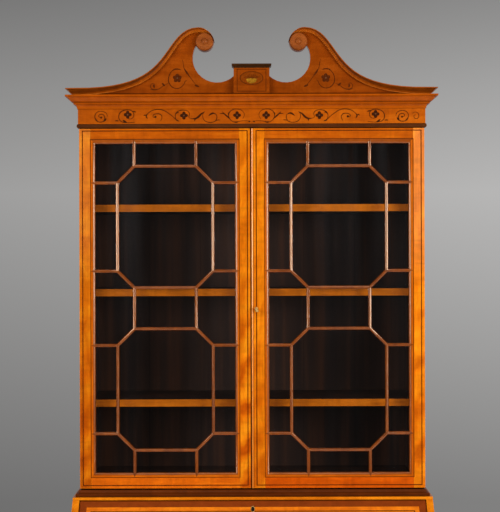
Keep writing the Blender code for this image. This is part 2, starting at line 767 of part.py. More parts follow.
def glazing_lattice(left, right):
    """The bars and the bead round the glass: a half-round section run round every pane."""
    bm = bmesh.new()
    front = DOOR_FRONT + BAR_RECESS
    back = front + BAR_DEPTH
    section = [(0, 0), (0.45, 0.06), (0.78, 0.24), (0.96, 0.52), (1, 0.62), (1, 1), (0, 1)]
    for outline in pane_outlines(left, right):
        count = len(outline)
        reach = []
        for i in range(count):
            edge = on_frame(outline[i], outline[(i + 1) % count], left, right)
            reach.append(EDGE_BEAD if edge else BAR_WIDTH / 2)
        rings = []
        for out, deep in section:
            corners = inset(outline, [out * width for width in reach])
            rings.append([(c.x, front + deep * (back - front), c.y) for c in corners])
        loft(bm, rings, closed_ends=False)
        for i in range(count):
            j = (i + 1) % count
            if on_frame(outline[i], outline[j], left, right):
                wall = [rings[0][i], rings[0][j], rings[-1][j], rings[-1][i]]
                bm.faces.new([bm.verts.new(point) for point in wall])
    bmesh.ops.remove_doubles(bm, verts=bm.verts, dist=FIT / 10)
    return bm


def build_stile(name, x0, x1, lip_side, axis):
    """A door stile: a full-height board with a lip behind the glass, on its inner side."""
    board = box((x0, DOOR_FRONT, DOOR_BOTTOM), (x1, DOOR_BACK, DOOR_TOP))
    piece = add(name, board, "satinwood", axis)
    edge = x1 if lip_side > 0 else x0
    l0, l1 = sorted((edge - lip_side * GLASS_LIP, edge + lip_side * GLASS_LIP))
    lip = box((l0, GLASS_FRONT + GLASS_THICK + FIT, PANEL_BOTTOM + FIT),
              (l1, DOOR_BACK - FIT, PANEL_TOP - FIT))
    combine(piece, "UNION", lip)
    return piece


def build_door(side, sign):
    axis = axis_empty(f"door_{side}_axis", (sign * BOOK_WIDTH / 2, DOOR_BACK + DOOR_GAP / 2, DOOR_BOTTOM))
    closing = MEETING_LINE + sign * MEETING_GAP / 2
    name = f"door_{side}"
    x0, x1 = mirrored(sign, PANEL_OUTER, BOOK_WIDTH / 2)
    hinge_stile = build_stile(f"{name}_hinge_stile", x0, x1, -sign, axis)
    sink_hinges(hinge_stile, door_hinges(sign), ((-sign, 0, 0), (0, -1, 0)))
    x0, x1 = sorted((closing, sign * PANEL_INNER))
    meeting_stile = build_stile(f"{name}_meeting_stile", x0, x1, sign, axis)

    left, right = mirrored(sign, PANEL_INNER + FIT, PANEL_OUTER - FIT)
    add(f"{name}_top_rail", box((left, DOOR_FRONT, PANEL_TOP), (right, DOOR_BACK, DOOR_TOP)),
        "satinwood", axis)
    add(f"{name}_bottom_rail", box((left, DOOR_FRONT, DOOR_BOTTOM), (right, DOOR_BACK, PANEL_BOTTOM)),
        "satinwood", axis)
    add(f"{name}_glazing_bars", glazing_lattice(left, right), "bead_wood", axis, smooth=True)
    glass = box((left, GLASS_FRONT, PANEL_BOTTOM + FIT), (right, GLASS_FRONT + GLASS_THICK, PANEL_TOP - FIT))
    add(f"{name}_glass", glass, "glass", axis)
    for level, hinge in zip(("lower", "upper"), door_hinges(sign)):
        hinge.make(f"{name}_{level}_hinge", ((-sign, 0, 0), (0, 1, 0)), ((-sign, 0, 0), (0, -1, 0)), axis)
    return axis, meeting_stile


def build_meeting_bead(axis):
    """A half-round bead on the closing edge of the right door."""
    x0 = MEETING_LINE + MEETING_GAP / 2
    half = MEETING_BEAD_WIDTH / 2
    face = DOOR_FRONT - FIT
    outline = [(x, face + y * MEETING_BEAD_OUT / half)
               for x, y in arc((x0 + half, 0), half, -math.pi, 0, 8)]
    add("door_right_meeting_bead", prism_z(outline, DOOR_BOTTOM, DOOR_TOP), "bead_wood", axis, smooth=True)


def oval(centre, along, out, length, width, count=20):
    """Points of an oval in the plane of two directions."""
    points = []
    for i in range(count):
        angle = 2 * math.pi * i / count
        points.append(centre + length / 2 * math.cos(angle) * out + width / 2 * math.sin(angle) * along)
    return points


def build_key(door_axis, stile):
    """A key in a round keyhole, with an oval bow that stands edge-on to the viewer."""
    hole = cylinder(bmesh.new(), (KEY_X, DOOR_FRONT - DOOR_THICK, KEY_LEVEL),
                    (KEY_X, DOOR_FRONT + KEY_REACH + FIT, KEY_LEVEL), KEY_SHANK + FIT)
    combine(stile, "DIFFERENCE", hole)
    turn = axis_empty("door_key_axis", (KEY_X, DOOR_FRONT, KEY_LEVEL))
    shank = cylinder(bmesh.new(), (KEY_X, DOOR_FRONT - KEY_STEM, KEY_LEVEL),
                     (KEY_X, DOOR_FRONT + KEY_REACH, KEY_LEVEL), KEY_SHANK, 12)
    key = add("door_key", shank, "brass", turn, smooth=True)
    combine(key, "UNION", turned(bmesh.new(), (KEY_X, DOOR_FRONT - KEY_STEM + KEY_COLLAR, KEY_LEVEL),
                                 [(KEY_COLLAR, 0), (KEY_COLLAR, KEY_SHANK)], 12))
    along = Vector((math.cos(KEY_TILT), 0, -math.sin(KEY_TILT)))
    out = Vector((0, -1, 0))
    thick = along.cross(out) * KEY_BOW_THICK / 2
    centre = Vector((KEY_X, DOOR_FRONT - KEY_STEM - KEY_BOW_LENGTH / 2 + KEY_BOW_RIM / 2, KEY_LEVEL))
    rim = oval(centre, along, out, KEY_BOW_LENGTH, KEY_BOW_WIDTH)
    combine(key, "UNION", loft(bmesh.new(), [[p - thick for p in rim], [p + thick for p in rim]]))
    eye = oval(centre, along, out, KEY_BOW_LENGTH - 2 * KEY_BOW_RIM, KEY_BOW_WIDTH - 2 * KEY_BOW_RIM)
    hollow = loft(bmesh.new(), [[p - 2 * thick for p in eye], [p + 2 * thick for p in eye]])
    combine(key, "DIFFERENCE", hollow)
    turn.parent = door_axis
    turn.matrix_parent_inverse = door_axis.matrix_world.inverted()


# Bureau

def slope_point(along, out):
    """A (y, z) point at a distance up the slope from the hinge line and out from the fall's inner face."""
    return (FRONT + along * SLOPE_Y - out * SLOPE_Z, WRITING_HEIGHT + along * SLOPE_Z + out * SLOPE_Y)


def slope_length():
    """Distance up the slope to the bevelled front of the bureau's top."""
    return (TOP_FRONT - FRONT) * SLOPE_Y + (LIP_HEIGHT - WRITING_HEIGHT) * SLOPE_Z


def bevel_end(along, level):
    """Where the bevel across the slope at a distance up it reaches a level below."""
    y, z = slope_point(along, FALL_THICK)
    down = (z - level) / SLOPE_Y
    return (y + down * SLOPE_Z, level)


def build_bureau_carcass():
    inner = BUREAU_INNER - FIT
    rear = BACK_INNER - FIT
    bottom = BASE_HEIGHT + FIT
    knee = (FRONT, WRITING_HEIGHT + FALL_THICK / SLOPE_Y)
    reach = slope_length()
    outline = [(FRONT, bottom), knee, slope_point(reach - FIT, FALL_THICK),
               bevel_end(reach - FIT, TOP_UNDER - FIT), (BACK, TOP_UNDER - FIT), (BACK, bottom)]
    for side, sign in SIDES.items():
        x0, x1 = mirrored(sign, BUREAU_INNER, BUREAU_WIDTH / 2)
        add(f"bureau_side_{side}", prism_x(outline, x0, x1), "satinwood")
    half = BUREAU_WIDTH / 2
    outline = [(BACK, BUREAU_HEIGHT), (TOP_FRONT, BUREAU_HEIGHT), (TOP_FRONT, LIP_HEIGHT),
               bevel_end(reach, TOP_UNDER), (BACK, TOP_UNDER)]
    add("bureau_top", prism_x(outline, -half, half), "satinwood")
    add("bureau_back", box((-inner, BACK_INNER, bottom), (inner, BACK, TOP_UNDER - FIT)), "carcass_wood")
    bed = box((-inner, FRONT + RUN, BED_UNDER), (inner, rear, WRITING_HEIGHT))
    piece = add("writing_bed", bed, "satinwood")
    sink_hinges(piece, fall_hinges(), ((0, 1, 0), (0, 0, -1)))


def build_waist_moulding():
    """A hollow moulding that flares from the bookcase onto the bureau's top."""
    bottom = BUREAU_HEIGHT + FIT
    top = bottom + WAIST_HEIGHT
    seat = DOOR_FRONT - CARCASS_FRONT + FIT
    points = [(FIT, seat, bottom), (WAIST_OUT, WAIST_OUT, bottom)]
    points.append((WAIST_OUT, WAIST_OUT, bottom + WAIST_HEIGHT * 0.40))
    for i in range(5):
        angle = math.pi / 2 * i / 4
        out = WAIST_OUT * (0.90 - 0.70 * math.sin(angle))
        points.append((out, out, bottom + WAIST_HEIGHT * (0.45 + 0.47 * (1 - math.cos(angle)))))
    points += [(WAIST_OUT * 0.20, WAIST_OUT * 0.20, top), (FIT, seat, top)]
    add("waist_moulding", wrap_moulding(points, BOOK_WIDTH / 2, DOOR_FRONT), "mahogany", smooth=True)


def build_drawer_rails():
    """Dust boards; the upper one carries the guides between the lopers and the top drawer."""
    inner = BUREAU_INNER - FIT
    rear = BACK_INNER - FIT
    upper = box((-inner, FRONT, UPPER_RAIL_TOP - RAIL_THICK), (inner, rear, UPPER_RAIL_TOP))
    piece = add("drawer_rail_upper", upper, "satinwood")
    guides = bmesh.new()
    near = BUREAU_INNER - LOPER_WIDTH - 2 * RUN
    for sign in SIDES.values():
        x0, x1 = mirrored(sign, near - GUIDE_THICK, near)
        box((x0, FRONT + RUN, UPPER_RAIL_TOP - RAIL_THICK / 2), (x1, rear - RUN, BED_UNDER - FIT), guides)
    combine(piece, "UNION", guides)
    lower = box((-inner, FRONT, LOWER_RAIL_TOP - RAIL_THICK), (inner, rear, LOWER_RAIL_TOP))
    add("drawer_rail_lower", lower, "satinwood")


def foot_curve(foot, sweep, drop, level):
    """The inner edge of a bracket foot, from the floor up to the apron."""
    points = [(foot, 0), (foot + sweep * 0.10, level * 0.30)]
    points += arc_ellipse((foot + sweep, level * 0.45), sweep * 0.80, level - drop - level * 0.45)
    return points


def arc_ellipse(centre, across, up, steps=6):
    """A quarter of an ellipse from its left end to its top."""
    points = []
    for i in range(steps + 1):
        angle = math.pi - math.pi / 2 * i / steps
        points.append((centre[0] + across * math.cos(angle), centre[1] + up * math.sin(angle)))
    return points


def apron_outline(lo, hi, level):
    """A shaped apron between two bracket feet, as (position, z) points."""
    curve = foot_curve(FOOT_WIDTH, FOOT_SWEEP, APRON_DROP, level)
    left = [(lo + d, z) for d, z in curve]
    right = [(hi - d, z) for d, z in reversed(curve)]
    return [(lo, 0)] + left + right + [(hi, 0), (hi, level), (lo, level)]


def build_base():
    """A bottom board on shaped aprons with bracket feet at the front and the sides."""
    half = BUREAU_WIDTH / 2 + BASE_OUT
    front = FRONT - BASE_OUT
    level = BASE_HEIGHT - BASE_BOARD
    overlap = BASE_BOARD / 3
    rings = []
    for out, rise in ((0, 0), (0.6, 0.06), (0.95, 0.24), (1, 0.40), (0.90, 0.58), (0.55, 0.72),
                      (0.3, 0.76), (0.3, 1)):
        d = BASE_LIP * out
        z = level + BASE_BOARD * rise
        rings.append([(-half - d, front - d, z), (half + d, front - d, z),
                      (half + d, BACK, z), (-half - d, BACK, z)])
    piece = add("base", loft(bmesh.new(), rings), "satinwood")
    apron = prism_y(apron_outline(-half, half, level + overlap), front, front + APRON_THICK)
    combine(piece, "UNION", apron)
    outline = apron_outline(front + APRON_THICK / 2, BACK, level + overlap)
    for sign in SIDES.values():
        x0, x1 = mirrored(sign, half - APRON_THICK, half)
        combine(piece, "UNION", prism_x(outline, x0, x1))


def build_pigeonholes():
    """A nest of compartments: a tall one in the middle, small ones above low ones at the sides."""
    half = BUREAU_INNER - FIT
    rear = BACK_INNER - FIT
    front = rear - NEST_DEPTH
    bottom = WRITING_HEIGHT + FIT
    top = TOP_UNDER - FIT
    piece = add("pigeonholes", box((-half, front, bottom), (half, rear, top)), "carcass_wood")
    holes = bmesh.new()

    def hole(x0, x1, z0, z1):
        box((x0, front - NEST_WALL, z0), (x1, rear - NEST_WALL, z1), holes)

    floor = bottom + NEST_WALL
    roof = top - NEST_WALL
    shelf = floor + NEST_LOW_ROW
    hole(-NEST_CENTRE / 2, NEST_CENTRE / 2, floor, roof)
    inner = NEST_CENTRE / 2 + NEST_WALL
    outer = half - NEST_WALL
    step = (outer - inner + NEST_WALL) / NEST_COLUMNS
    for sign in SIDES.values():
        hole(*mirrored(sign, inner, outer), floor, shelf)
        for column in range(NEST_COLUMNS):
            near = inner + column * step
            hole(*mirrored(sign, near, near + step - NEST_WALL), shelf + NEST_WALL, roof)
    combine(piece, "DIFFERENCE", holes)


def fall_section(thick):
    """The fall's outline where it is as thick as this, with a rounded outer edge at its top."""
    reach = slope_length() - FALL_GAP
    corner = arc((reach - FALL_ROUND, thick - FALL_ROUND), FALL_ROUND, 0, math.pi / 2, 4)
    knee = (FRONT, WRITING_HEIGHT + thick / SLOPE_Y)
    return ([slope_point(FALL_TIP, 0), slope_point(reach, 0)] + [slope_point(*point) for point in corner]
            + [knee, (FRONT, WRITING_HEIGHT + FALL_TIP)])


def build_fall():
    """The fall: its lower end stands upright when closed, so that it clears the bed when it opens."""
    axis = axis_empty("fall_axis", (0, FRONT, WRITING_HEIGHT))
    half = BUREAU_INNER - RUN
    edge = arc((half - FALL_ROUND, FALL_THICK - FALL_ROUND), FALL_ROUND, 0, math.pi / 2, 4)
    stations = [(-x, thick) for x, thick in edge] + edge[::-1]
    rings = [[(x, y, z) for y, z in fall_section(thick)] for x, thick in stations]
    piece = add("fall_front", loft(bmesh.new(), rings), "satinwood", axis, smooth=True)
    up = (0, SLOPE_Y, SLOPE_Z)
    into = (0, -SLOPE_Z, SLOPE_Y)
    sink_hinges(piece, fall_hinges(), (up, into))
    for side, hinge in zip(SIDES, fall_hinges()):
        hinge.make(f"fall_{side}_hinge", ((0, 1, 0), (0, 0, -1)), (up, into), axis)


def knob_profile(radius, out):
    """A turned knob: foot, neck and rounded head, from inside the board outwards."""
    shares = [(0.60, -0.10), (0.60, 0.12), (0.42, 0.22), (0.40, 0.40), (0.75, 0.52), (0.98, 0.66),
              (1, 0.76), (0.90, 0.90), (0.60, 0.98), (0.15, 1)]
    return [(radius * r, out * h) for r, h in shares]


def build_lopers():
    """Pull-out supports for the open fall, each with a small knob."""
    top = BED_UNDER - FIT
    bottom = UPPER_RAIL_TOP + FIT
    for side, sign in SIDES.items():
        x0, x1 = mirrored(sign, BUREAU_INNER - RUN - LOPER_WIDTH, BUREAU_INNER - RUN)
        slide = axis_empty(f"loper_{side}_slide", ((x0 + x1) / 2, FRONT, (bottom + top) / 2))
        piece = add(f"loper_{side}", box((x0, FRONT, bottom), (x1, FRONT + LOPER_LENGTH, top)),
                    "satinwood", slide)
        knob = turned(bmesh.new(), slide.location, knob_profile(LOPER_KNOB_RADIUS, LOPER_KNOB_OUT), 14)
        combine(piece, "UNION", knob)


def build_drawer(name, half, bottom, top):
    """An open drawer with a cock-bead round its front and two knobs."""
    slide = axis_empty(f"{name}_slide", (0, FRONT, (bottom + top) / 2))
    shell = box((-half, FRONT - COCKBEAD_OUT, bottom), (half, FRONT + DRAWER_LENGTH, top))
    piece = add(name, shell, "satinwood", slide)
    hollows = box((-half + DRAWER_SIDE, FRONT + DRAWER_FRONT, bottom + DRAWER_BOTTOM),
                  (half - DRAWER_SIDE, FRONT + DRAWER_LENGTH - DRAWER_SIDE, top + DRAWER_BOTTOM))
    box((-half + COCKBEAD, FRONT - 2 * COCKBEAD_OUT, bottom + COCKBEAD),
        (half - COCKBEAD, FRONT, top - COCKBEAD), hollows)
    combine(piece, "DIFFERENCE", hollows)
    knobs = bmesh.new()
    for sign in SIDES.values():
        turned(knobs, (sign * (BUREAU_WIDTH / 2 - KNOB_INSET), FRONT, (bottom + top) / 2),
               knob_profile(KNOB_RADIUS, KNOB_OUT), 14)
    combine(piece, "UNION", knobs)


def build_drawers():
    full = BUREAU_INNER - RUN
    short = BUREAU_INNER - LOPER_WIDTH - GUIDE_THICK - 3 * RUN
    rows = (("drawer_top", short, UPPER_RAIL_TOP, BED_UNDER),
            ("drawer_middle", full, LOWER_RAIL_TOP, UPPER_RAIL_TOP - RAIL_THICK),
            ("drawer_bottom", full, BASE_HEIGHT, LOWER_RAIL_TOP - RAIL_THICK))
    for name, half, floor, ceiling in rows:
        build_drawer(name, half, floor + FIT, ceiling - DRAWER_HEADROOM)


def build():
    build_bookcase_sides()
    build_bookcase_boards()
    build_frieze()
    build_cornice()
    build_pediment_board()
    build_swan_necks()
    build_rosettes()
    build_pedestal()
    for side, sign in SIDES.items():
        axis, meeting_stile = build_door(side, sign)
    build_meeting_bead(axis)
    bpy.context.view_layer.update()
    build_key(axis, meeting_stile)
    build_bureau_carcass()
    build_waist_moulding()
    build_drawer_rails()
    build_base()
    build_pigeonholes()
    build_fall()
    build_lopers()
    build_drawers()


for leftover in list(bpy.data.objects):
    bpy.data.objects.remove(leftover, do_unlink=True)
MATERIALS = {name: make_finish(name) for name in FINISHES}
build()
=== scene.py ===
"""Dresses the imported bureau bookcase: woods, glass, brass, inlay, banding and leather.

Metres, +Z up, front towards -Y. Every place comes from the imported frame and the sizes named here.
"""
import json
import math

import bmesh
import bpy
from mathutils import Matrix, Vector


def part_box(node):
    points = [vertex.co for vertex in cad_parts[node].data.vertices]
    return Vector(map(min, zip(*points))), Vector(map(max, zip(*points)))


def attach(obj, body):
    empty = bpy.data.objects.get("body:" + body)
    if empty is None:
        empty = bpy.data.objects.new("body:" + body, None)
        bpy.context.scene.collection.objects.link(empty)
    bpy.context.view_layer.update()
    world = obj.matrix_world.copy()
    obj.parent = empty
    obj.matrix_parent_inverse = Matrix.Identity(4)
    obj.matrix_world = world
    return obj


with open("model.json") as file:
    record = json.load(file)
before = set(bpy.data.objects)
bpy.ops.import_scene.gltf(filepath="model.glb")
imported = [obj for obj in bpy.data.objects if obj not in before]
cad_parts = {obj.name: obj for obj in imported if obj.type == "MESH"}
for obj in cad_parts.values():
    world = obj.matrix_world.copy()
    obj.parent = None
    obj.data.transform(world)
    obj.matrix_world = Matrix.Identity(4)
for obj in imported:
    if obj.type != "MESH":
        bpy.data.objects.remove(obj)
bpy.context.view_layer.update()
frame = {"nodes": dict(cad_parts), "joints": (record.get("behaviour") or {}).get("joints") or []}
NODES = frame["nodes"]
JOINTS = {joint["name"]: joint for joint in frame["joints"]}
SIDES = {"left": -1, "right": 1}

# Camera, as the photograph was taken
CAMERA_X = -0.0054
CAMERA_HEIGHT = 1.6547
CAMERA_DISTANCE = 3.3
CAMERA_ROLL = math.radians(-0.17)
LENS = 87.66
SENSOR = 36.0

# Studio floor, lamps and world; the world's greys go by height, then darken to the left and behind
FLOOR_RINGS = (0.5, 3.0, 4.4)
FLOOR_STEPS = 64
KEY_POWER = 24.0
KEY_SIZE = (3.0, 1.4)
KEY_LAMP = Vector((0.0, -2.6, 4.0))
KEY_AIM = Vector((0.0, 0.0, 1.7))
FILL_POWERS = {"left": 62.0, "right": 80.0}
FILL_SIZE = (1.6, 1.25)
FILL_LAMP = Vector((2.4, -2.55, 1.92))
FILL_AIM = Vector((0.0, 0.0, 1.65))
WORLD_HEIGHTS = (-0.25, 0.75)
WORLD_GREYS = ((0.06, 0.19), (0.30, 0.41), (0.38, 0.32), (0.455, 0.215), (0.70, 0.40))
WORLD_TINT = (1.0, 0.99, 0.98)
WORLD_ACROSS = (-0.4, 0.4, 0.78, 1.22)
WORLD_DEPTH = (-0.30, 0.55, 0.12, 1.0)

# Facets that meet at less than this are shaded as one curve, on the frame and on new pieces
SMOOTH_ANGLE = math.radians(38)
PIECE_SMOOTH_ANGLE = math.radians(40)

# Thin pieces let into a face: how far they stand proud of it and reach into it,
# and the step from one piece of an inlay to the next
PROUD = 0.00025
SUNK = 0.0006
LAYER = 0.00001

# Bead round a door's glass: its width, and the inward lean from which its slope is dark
BORDER_BEAD = 0.0092
BORDER_LEAN = -0.25

# Stringing of the doors, with lines painted as the shadow of the doors' gap at the closing edge and as
# the shade of a quirk round the glass
STRING = 0.0024
DOOR_STRING_INSET = 0.0075
DOOR_STRING_HEAD = 0.0047
DOOR_STRING_FOOT = 0.0066
MEETING_STRING = 0.0104
CLOSING_SHADOW = 0.0016
QUIRK_SHADE = 0.0013

# Inlay: widths of its lines and sizes of the flowers
STROKE = 0.0016
CURL_STROKE = 0.0010
SCROLL_STROKE = 0.0022
TENDRIL_STROKE = 0.0015
STROKE_ENDS = 0.5
LEAF_ENDS = 0.08
FRIEZE_FLOWER = 0.0105
FRIEZE_SPREAD = 0.988
TYMPANUM_FLOWER = 0.0120
TYMPANUM_INLAY_DROP = 0.0045

# A flower's petals and eye, as shares of its radius
PETAL_PLACE = 0.54
PETAL_LENGTH = 0.46
PETAL_WIDTH = 0.42
EYE_RADIUS = 0.2

# Pedestal inlay: an oval with rays that fan out above a cup
PATERA_RISE = 0.044
PATERA_WIDTH = 0.060
PATERA_HEIGHT = 0.034
PATERA_RIM = 0.0014
RAY_COUNT = 9
RAY_START = math.radians(20)
RAY_SWEEP = math.radians(140)
RAY_REACH = (0.36, 0.40)
RAY_WIDTHS = (0.0016, 0.0007)
CUP_WIDTH = 0.028
CUP_HEIGHT = 0.011
CUP_LIP = 0.0022
CUP_DROP = 0.003
PEDESTAL_STRING = 0.0016
PEDESTAL_STRING_INSET = 0.0085

# Fall and drawer banding; gilt lines by their distance from the leather's edge and their width
FALL_THICK = 0.020
FALL_ROUND = 0.004
FALL_KEYHOLE = 0.0265
CROSSBAND = 0.016
LIGHT_BAND = 0.0115
COCKBEAD = 0.0035
COCKBEAD_GAP = 0.0003
DRAWER_CROSSBAND = 0.012
DRAWER_LIGHT_BAND = 0.009
DRAWER_KEYHOLE_RISE = 0.22
LEATHER_MARGIN = 0.055
GILT_LINES = ((0.012, 0.0022), (0.018, 0.0008))

# Brass: profiles give shares of the size and distances out from the face
ESCUTCHEON_WIDTH = 0.0105
ESCUTCHEON_HEIGHT = 0.018
ESCUTCHEON_PROFILE = ((1, -SUNK), (1, 0.0006), (0.94, 0.0010), (0.84, 0.0009), (0.80, -SUNK))
KEYHOLE_SHARE = 0.82
KEY_PLATE_WIDTH = 0.0085
KEY_PLATE_HEIGHT = 0.0135
KEY_BORE = 0.0026
KNOB_RADIUS = 0.013
KNOB_INSET = 0.224
KNOB_PLATE = 0.0175
KNOB_PLATE_PROFILE = ((1, -SUNK), (1, 0.0006), (0.93, 0.0014), (0.70, 0.0016), (0.62, 0.0030),
                      (0.48, 0.0032))

# Width of the boards in the two backs
BOOKCASE_BOARD = 0.147
BUREAU_BOARD = 0.182

# Axes of the grain
ACROSS = 0
UP = 2

# Planes and levels of the frame
DOOR_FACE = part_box("door_left_top_rail")[0].y
FRIEZE_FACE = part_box("frieze")[0].y
PEDESTAL_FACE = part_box("pedestal_block")[0].y
PEDIMENT_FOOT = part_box("pediment_board")[0].z
BAND_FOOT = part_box("frieze")[0].z
BAND_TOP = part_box("cornice")[0].z
HINGE_LINE = Vector(JOINTS["fall_swing"]["pos_m"])
FALL_SLOPE = math.pi - math.radians(JOINTS["fall_swing"]["range_deg"][1])
FRONT = HINGE_LINE.y
HALF_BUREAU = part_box("bureau_top")[1].x
KEY_PLACE = Vector(JOINTS["key_turn"]["pos_m"])


# Node materials

class Surface:
    """A node material that is built up step by step."""

    def __init__(self, name):
        self.material = bpy.data.materials.new(name)
        self.material.use_nodes = True
        self.tree = self.material.node_tree
        self.shader = self.tree.nodes["Principled BSDF"]
        self.place = self.add("ShaderNodeTexCoord").outputs["Object"]

    def add(self, kind, **settings):
        node = self.tree.nodes.new(kind)
        for name, value in settings.items():
            setattr(node, name, value)
        return node

    def feed(self, socket, value):
        """Link an output to a socket, or set the socket's own value."""
        if isinstance(value, bpy.types.NodeSocket):
            self.tree.links.new(value, socket)
        else:
            socket.default_value = value

    def stretched(self, scale, shift=(0, 0, 0)):
        """Object coordinates, moved and scaled."""
        node = self.add("ShaderNodeMapping")
        self.feed(node.inputs["Vector"], self.place)
        self.feed(node.inputs["Location"], shift)
        self.feed(node.inputs["Scale"], scale)
        return node.outputs["Vector"]

    def noise(self, vector, scale=1.0, detail=4.0, roughness=0.55, distortion=0.0):
        node = self.add("ShaderNodeTexNoise")
        self.feed(node.inputs["Vector"], vector)
        self.feed(node.inputs["Scale"], scale)
        self.feed(node.inputs["Detail"], detail)
        self.feed(node.inputs["Roughness"], roughness)
        self.feed(node.inputs["Distortion"], distortion)
        return node.outputs["Fac"]

    def ramp(self, factor, *stops):
        """A colour ramp of (position, colour) stops."""
        node = self.add("ShaderNodeValToRGB")
        elements = node.color_ramp.elements
        while len(elements) < len(stops):
            elements.new(0.5)
        for element, (position, colour) in zip(elements, stops):
            element.position = position
            element.color = (*colour, 1)
        self.feed(node.inputs["Fac"], factor)
        return node.outputs["Color"]

    def mix(self, factor, first, second, blend="MIX"):
        node = self.add("ShaderNodeMix", data_type="RGBA", blend_type=blend)
        self.feed(node.inputs[0], factor)
        self.feed(node.inputs[6], first)
        self.feed(node.inputs[7], second)
        return node.outputs[2]

    def span(self, value, low, high, to_low, to_high):
        """Map a value from one range to another, held at the ends."""
        node = self.add("ShaderNodeMapRange")
        ends = {"From Min": low, "From Max": high, "To Min": to_low, "To Max": to_high}
        for name, number in ends.items():
            self.feed(node.inputs[name], number)
        self.feed(node.inputs["Value"], value)
        return node.outputs["Result"]

    def math(self, operation, first, second):
        node = self.add("ShaderNodeMath", operation=operation)
        self.feed(node.inputs[0], first)
        self.feed(node.inputs[1], second)
        return node.outputs[0]

    def crevices(self, distance):
        """1 on open faces, towards 0 in hollows and along joints."""
        node = self.add("ShaderNodeAmbientOcclusion", samples=6)
        self.feed(node.inputs["Distance"], distance)
        return node.outputs["AO"]

    def edges(self, distance):
        """0 on flat faces, towards 1 along outer edges, for wear and a painted highlight."""
        node = self.add("ShaderNodeAmbientOcclusion", samples=6, inside=True, only_local=True)
        self.feed(node.inputs["Distance"], distance)
        return self.span(node.outputs["AO"], 0.50, 0.95, 1.0, 0.0)

    def leaning_bands(self, sizes, lean, shift):
        """Uneven bands that rise from left to right at a lean."""
        turned = self.add("ShaderNodeMapping", vector_type="TEXTURE")
        self.feed(turned.inputs["Vector"], self.place)
        self.feed(turned.inputs["Location"], shift)
        self.feed(turned.inputs["Rotation"], (0, -lean, 0))
        self.feed(turned.inputs["Scale"], sizes)
        wave = self.add("ShaderNodeTexWave", wave_type="BANDS", bands_direction="Z")
        settings = {"Vector": turned.outputs["Vector"], "Scale": 1.0, "Distortion": 5.0,
                    "Detail": 3.0, "Detail Scale": 2.5, "Detail Roughness": 0.55}
        for name, value in settings.items():
            self.feed(wave.inputs[name], value)
        return wave.outputs["Fac"]

    def along(self, axis, low, high, to_low, to_high):
        """A value that changes along an axis of the object."""
        axes = self.add("ShaderNodeSeparateXYZ")
        self.feed(axes.inputs[0], self.place)
        return self.span(axes.outputs[axis], low, high, to_low, to_high)

    def bump(self, height, distance, strength):
        node = self.add("ShaderNodeBump")
        self.feed(node.inputs["Height"], height)
        self.feed(node.inputs["Distance"], distance)
        self.feed(node.inputs["Strength"], strength)
        self.feed(self.shader.inputs["Normal"], node.outputs["Normal"])

    def finish(self, **inputs):
        """Set or link the shader's inputs; underscores stand for spaces in their names."""
        for name, value in inputs.items():
            self.feed(self.shader.inputs[name.replace("_", " ")], value)
        return self.material


def shaded(tones, share):
    """Darker or lighter tones of the same wood."""
    return tuple(tuple(share * c for c in tone) for tone in tones)


def grey(value):
    return (value, value, value)


# Tints of the polish on broad faces and on rounded bars
AMBER = (1.0, 0.78, 0.55, 1.0)
PEACH = (1.0, 0.74, 0.48, 1.0)

# Grain: scales of its noises with the grain and across it
STREAKS = (1.6, 30)
MOTTLE = (13, 36)
FIBRES = (9, 520)
RIPPLE = (44, 9)
PORES = (90, 1900)
RIPPLE_SHADES = ((0.36, grey(0.80)), (0.52, grey(1.0)), (0.68, grey(1.15)))
FIBRE_SHADES = ((0.32, grey(0.72)), (0.50, grey(1.0)), (0.72, grey(1.14)))
PORE_SHADES = ((0.30, grey(0.45)), (0.40, grey(1.0)))
GRAIN_DEPTH = 0.0002

# Broad flame figure: sizes of its bands, their lean and shades, and the levels between which it grows
FLAME_SIZES = (0.24, 0.24, 0.24)
FLAME_LEAN = math.radians(48)
FLAME_SHADES = ((0.05, (0.54, 0.22, 0.10)), (0.30, (0.86, 0.70, 0.5)), (0.60, grey(1.0)),
                (0.95, (1.16, 1.55, 2.2)))
FLAME_LOW = 1.25
FLAME_HIGH = 1.62
FOOT_TINT = (0.80, 0.58, 0.40, 1)

# Levels between which a painted sheen grows on the doors, standing for a reflection on their polish
PAINTED_SHEEN_LOW = 1.58
PAINTED_SHEEN_HIGH = 1.72
PAINTED_SHEEN_TONE = (0.75, 0.55, 0.40, 1)

# Wear and a painted highlight along edges, dirt and painted shade in hollows and joints, and a
# darkening that lies at a foot and fades over a height
WORN_AND_LIT_EDGE = 0.003
WEAR_AND_HIGHLIGHT = 0.45
DIRT_AND_SHADE_RAMP = ((0.40, grey(0.14)), (0.88, grey(1.0)))
DARK_BELOW_TINT = (0.10, 0.05, 0.03, 1)
DARK_BELOW_STRENGTH = 0.75
DARK_BELOW_FADE = 0.0022

# Painted light across the swan necks, by the share of their depth: a painted highlight on the foot,
# painted shade in the hollow, and a darker top
RAKE_DEPTH = 0.030
RAKE_PAINTED_LIGHT = ((0.36, (1.25, 1.65, 4.0)), (0.45, (1.0, 1.0, 1.0)), (0.52, (0.80, 0.78, 0.8)),
               (0.58, (0.32, 0.32, 0.4)), (0.70, (0.32, 0.32, 0.4)), (0.80, (0.48, 0.48, 0.5)))

# Levels between which the film on the glass grows: dust, and a painted reflection of the room
GLASS_DUST_AND_SHEEN_LOW = 1.4
GLASS_DUST_AND_SHEEN_HIGH = 1.8


def grain_scale(along, with_grain, across):
    """Scales of the three axes for a grain that runs along one of them."""
    return tuple(with_grain if axis == along else across for axis in range(3))


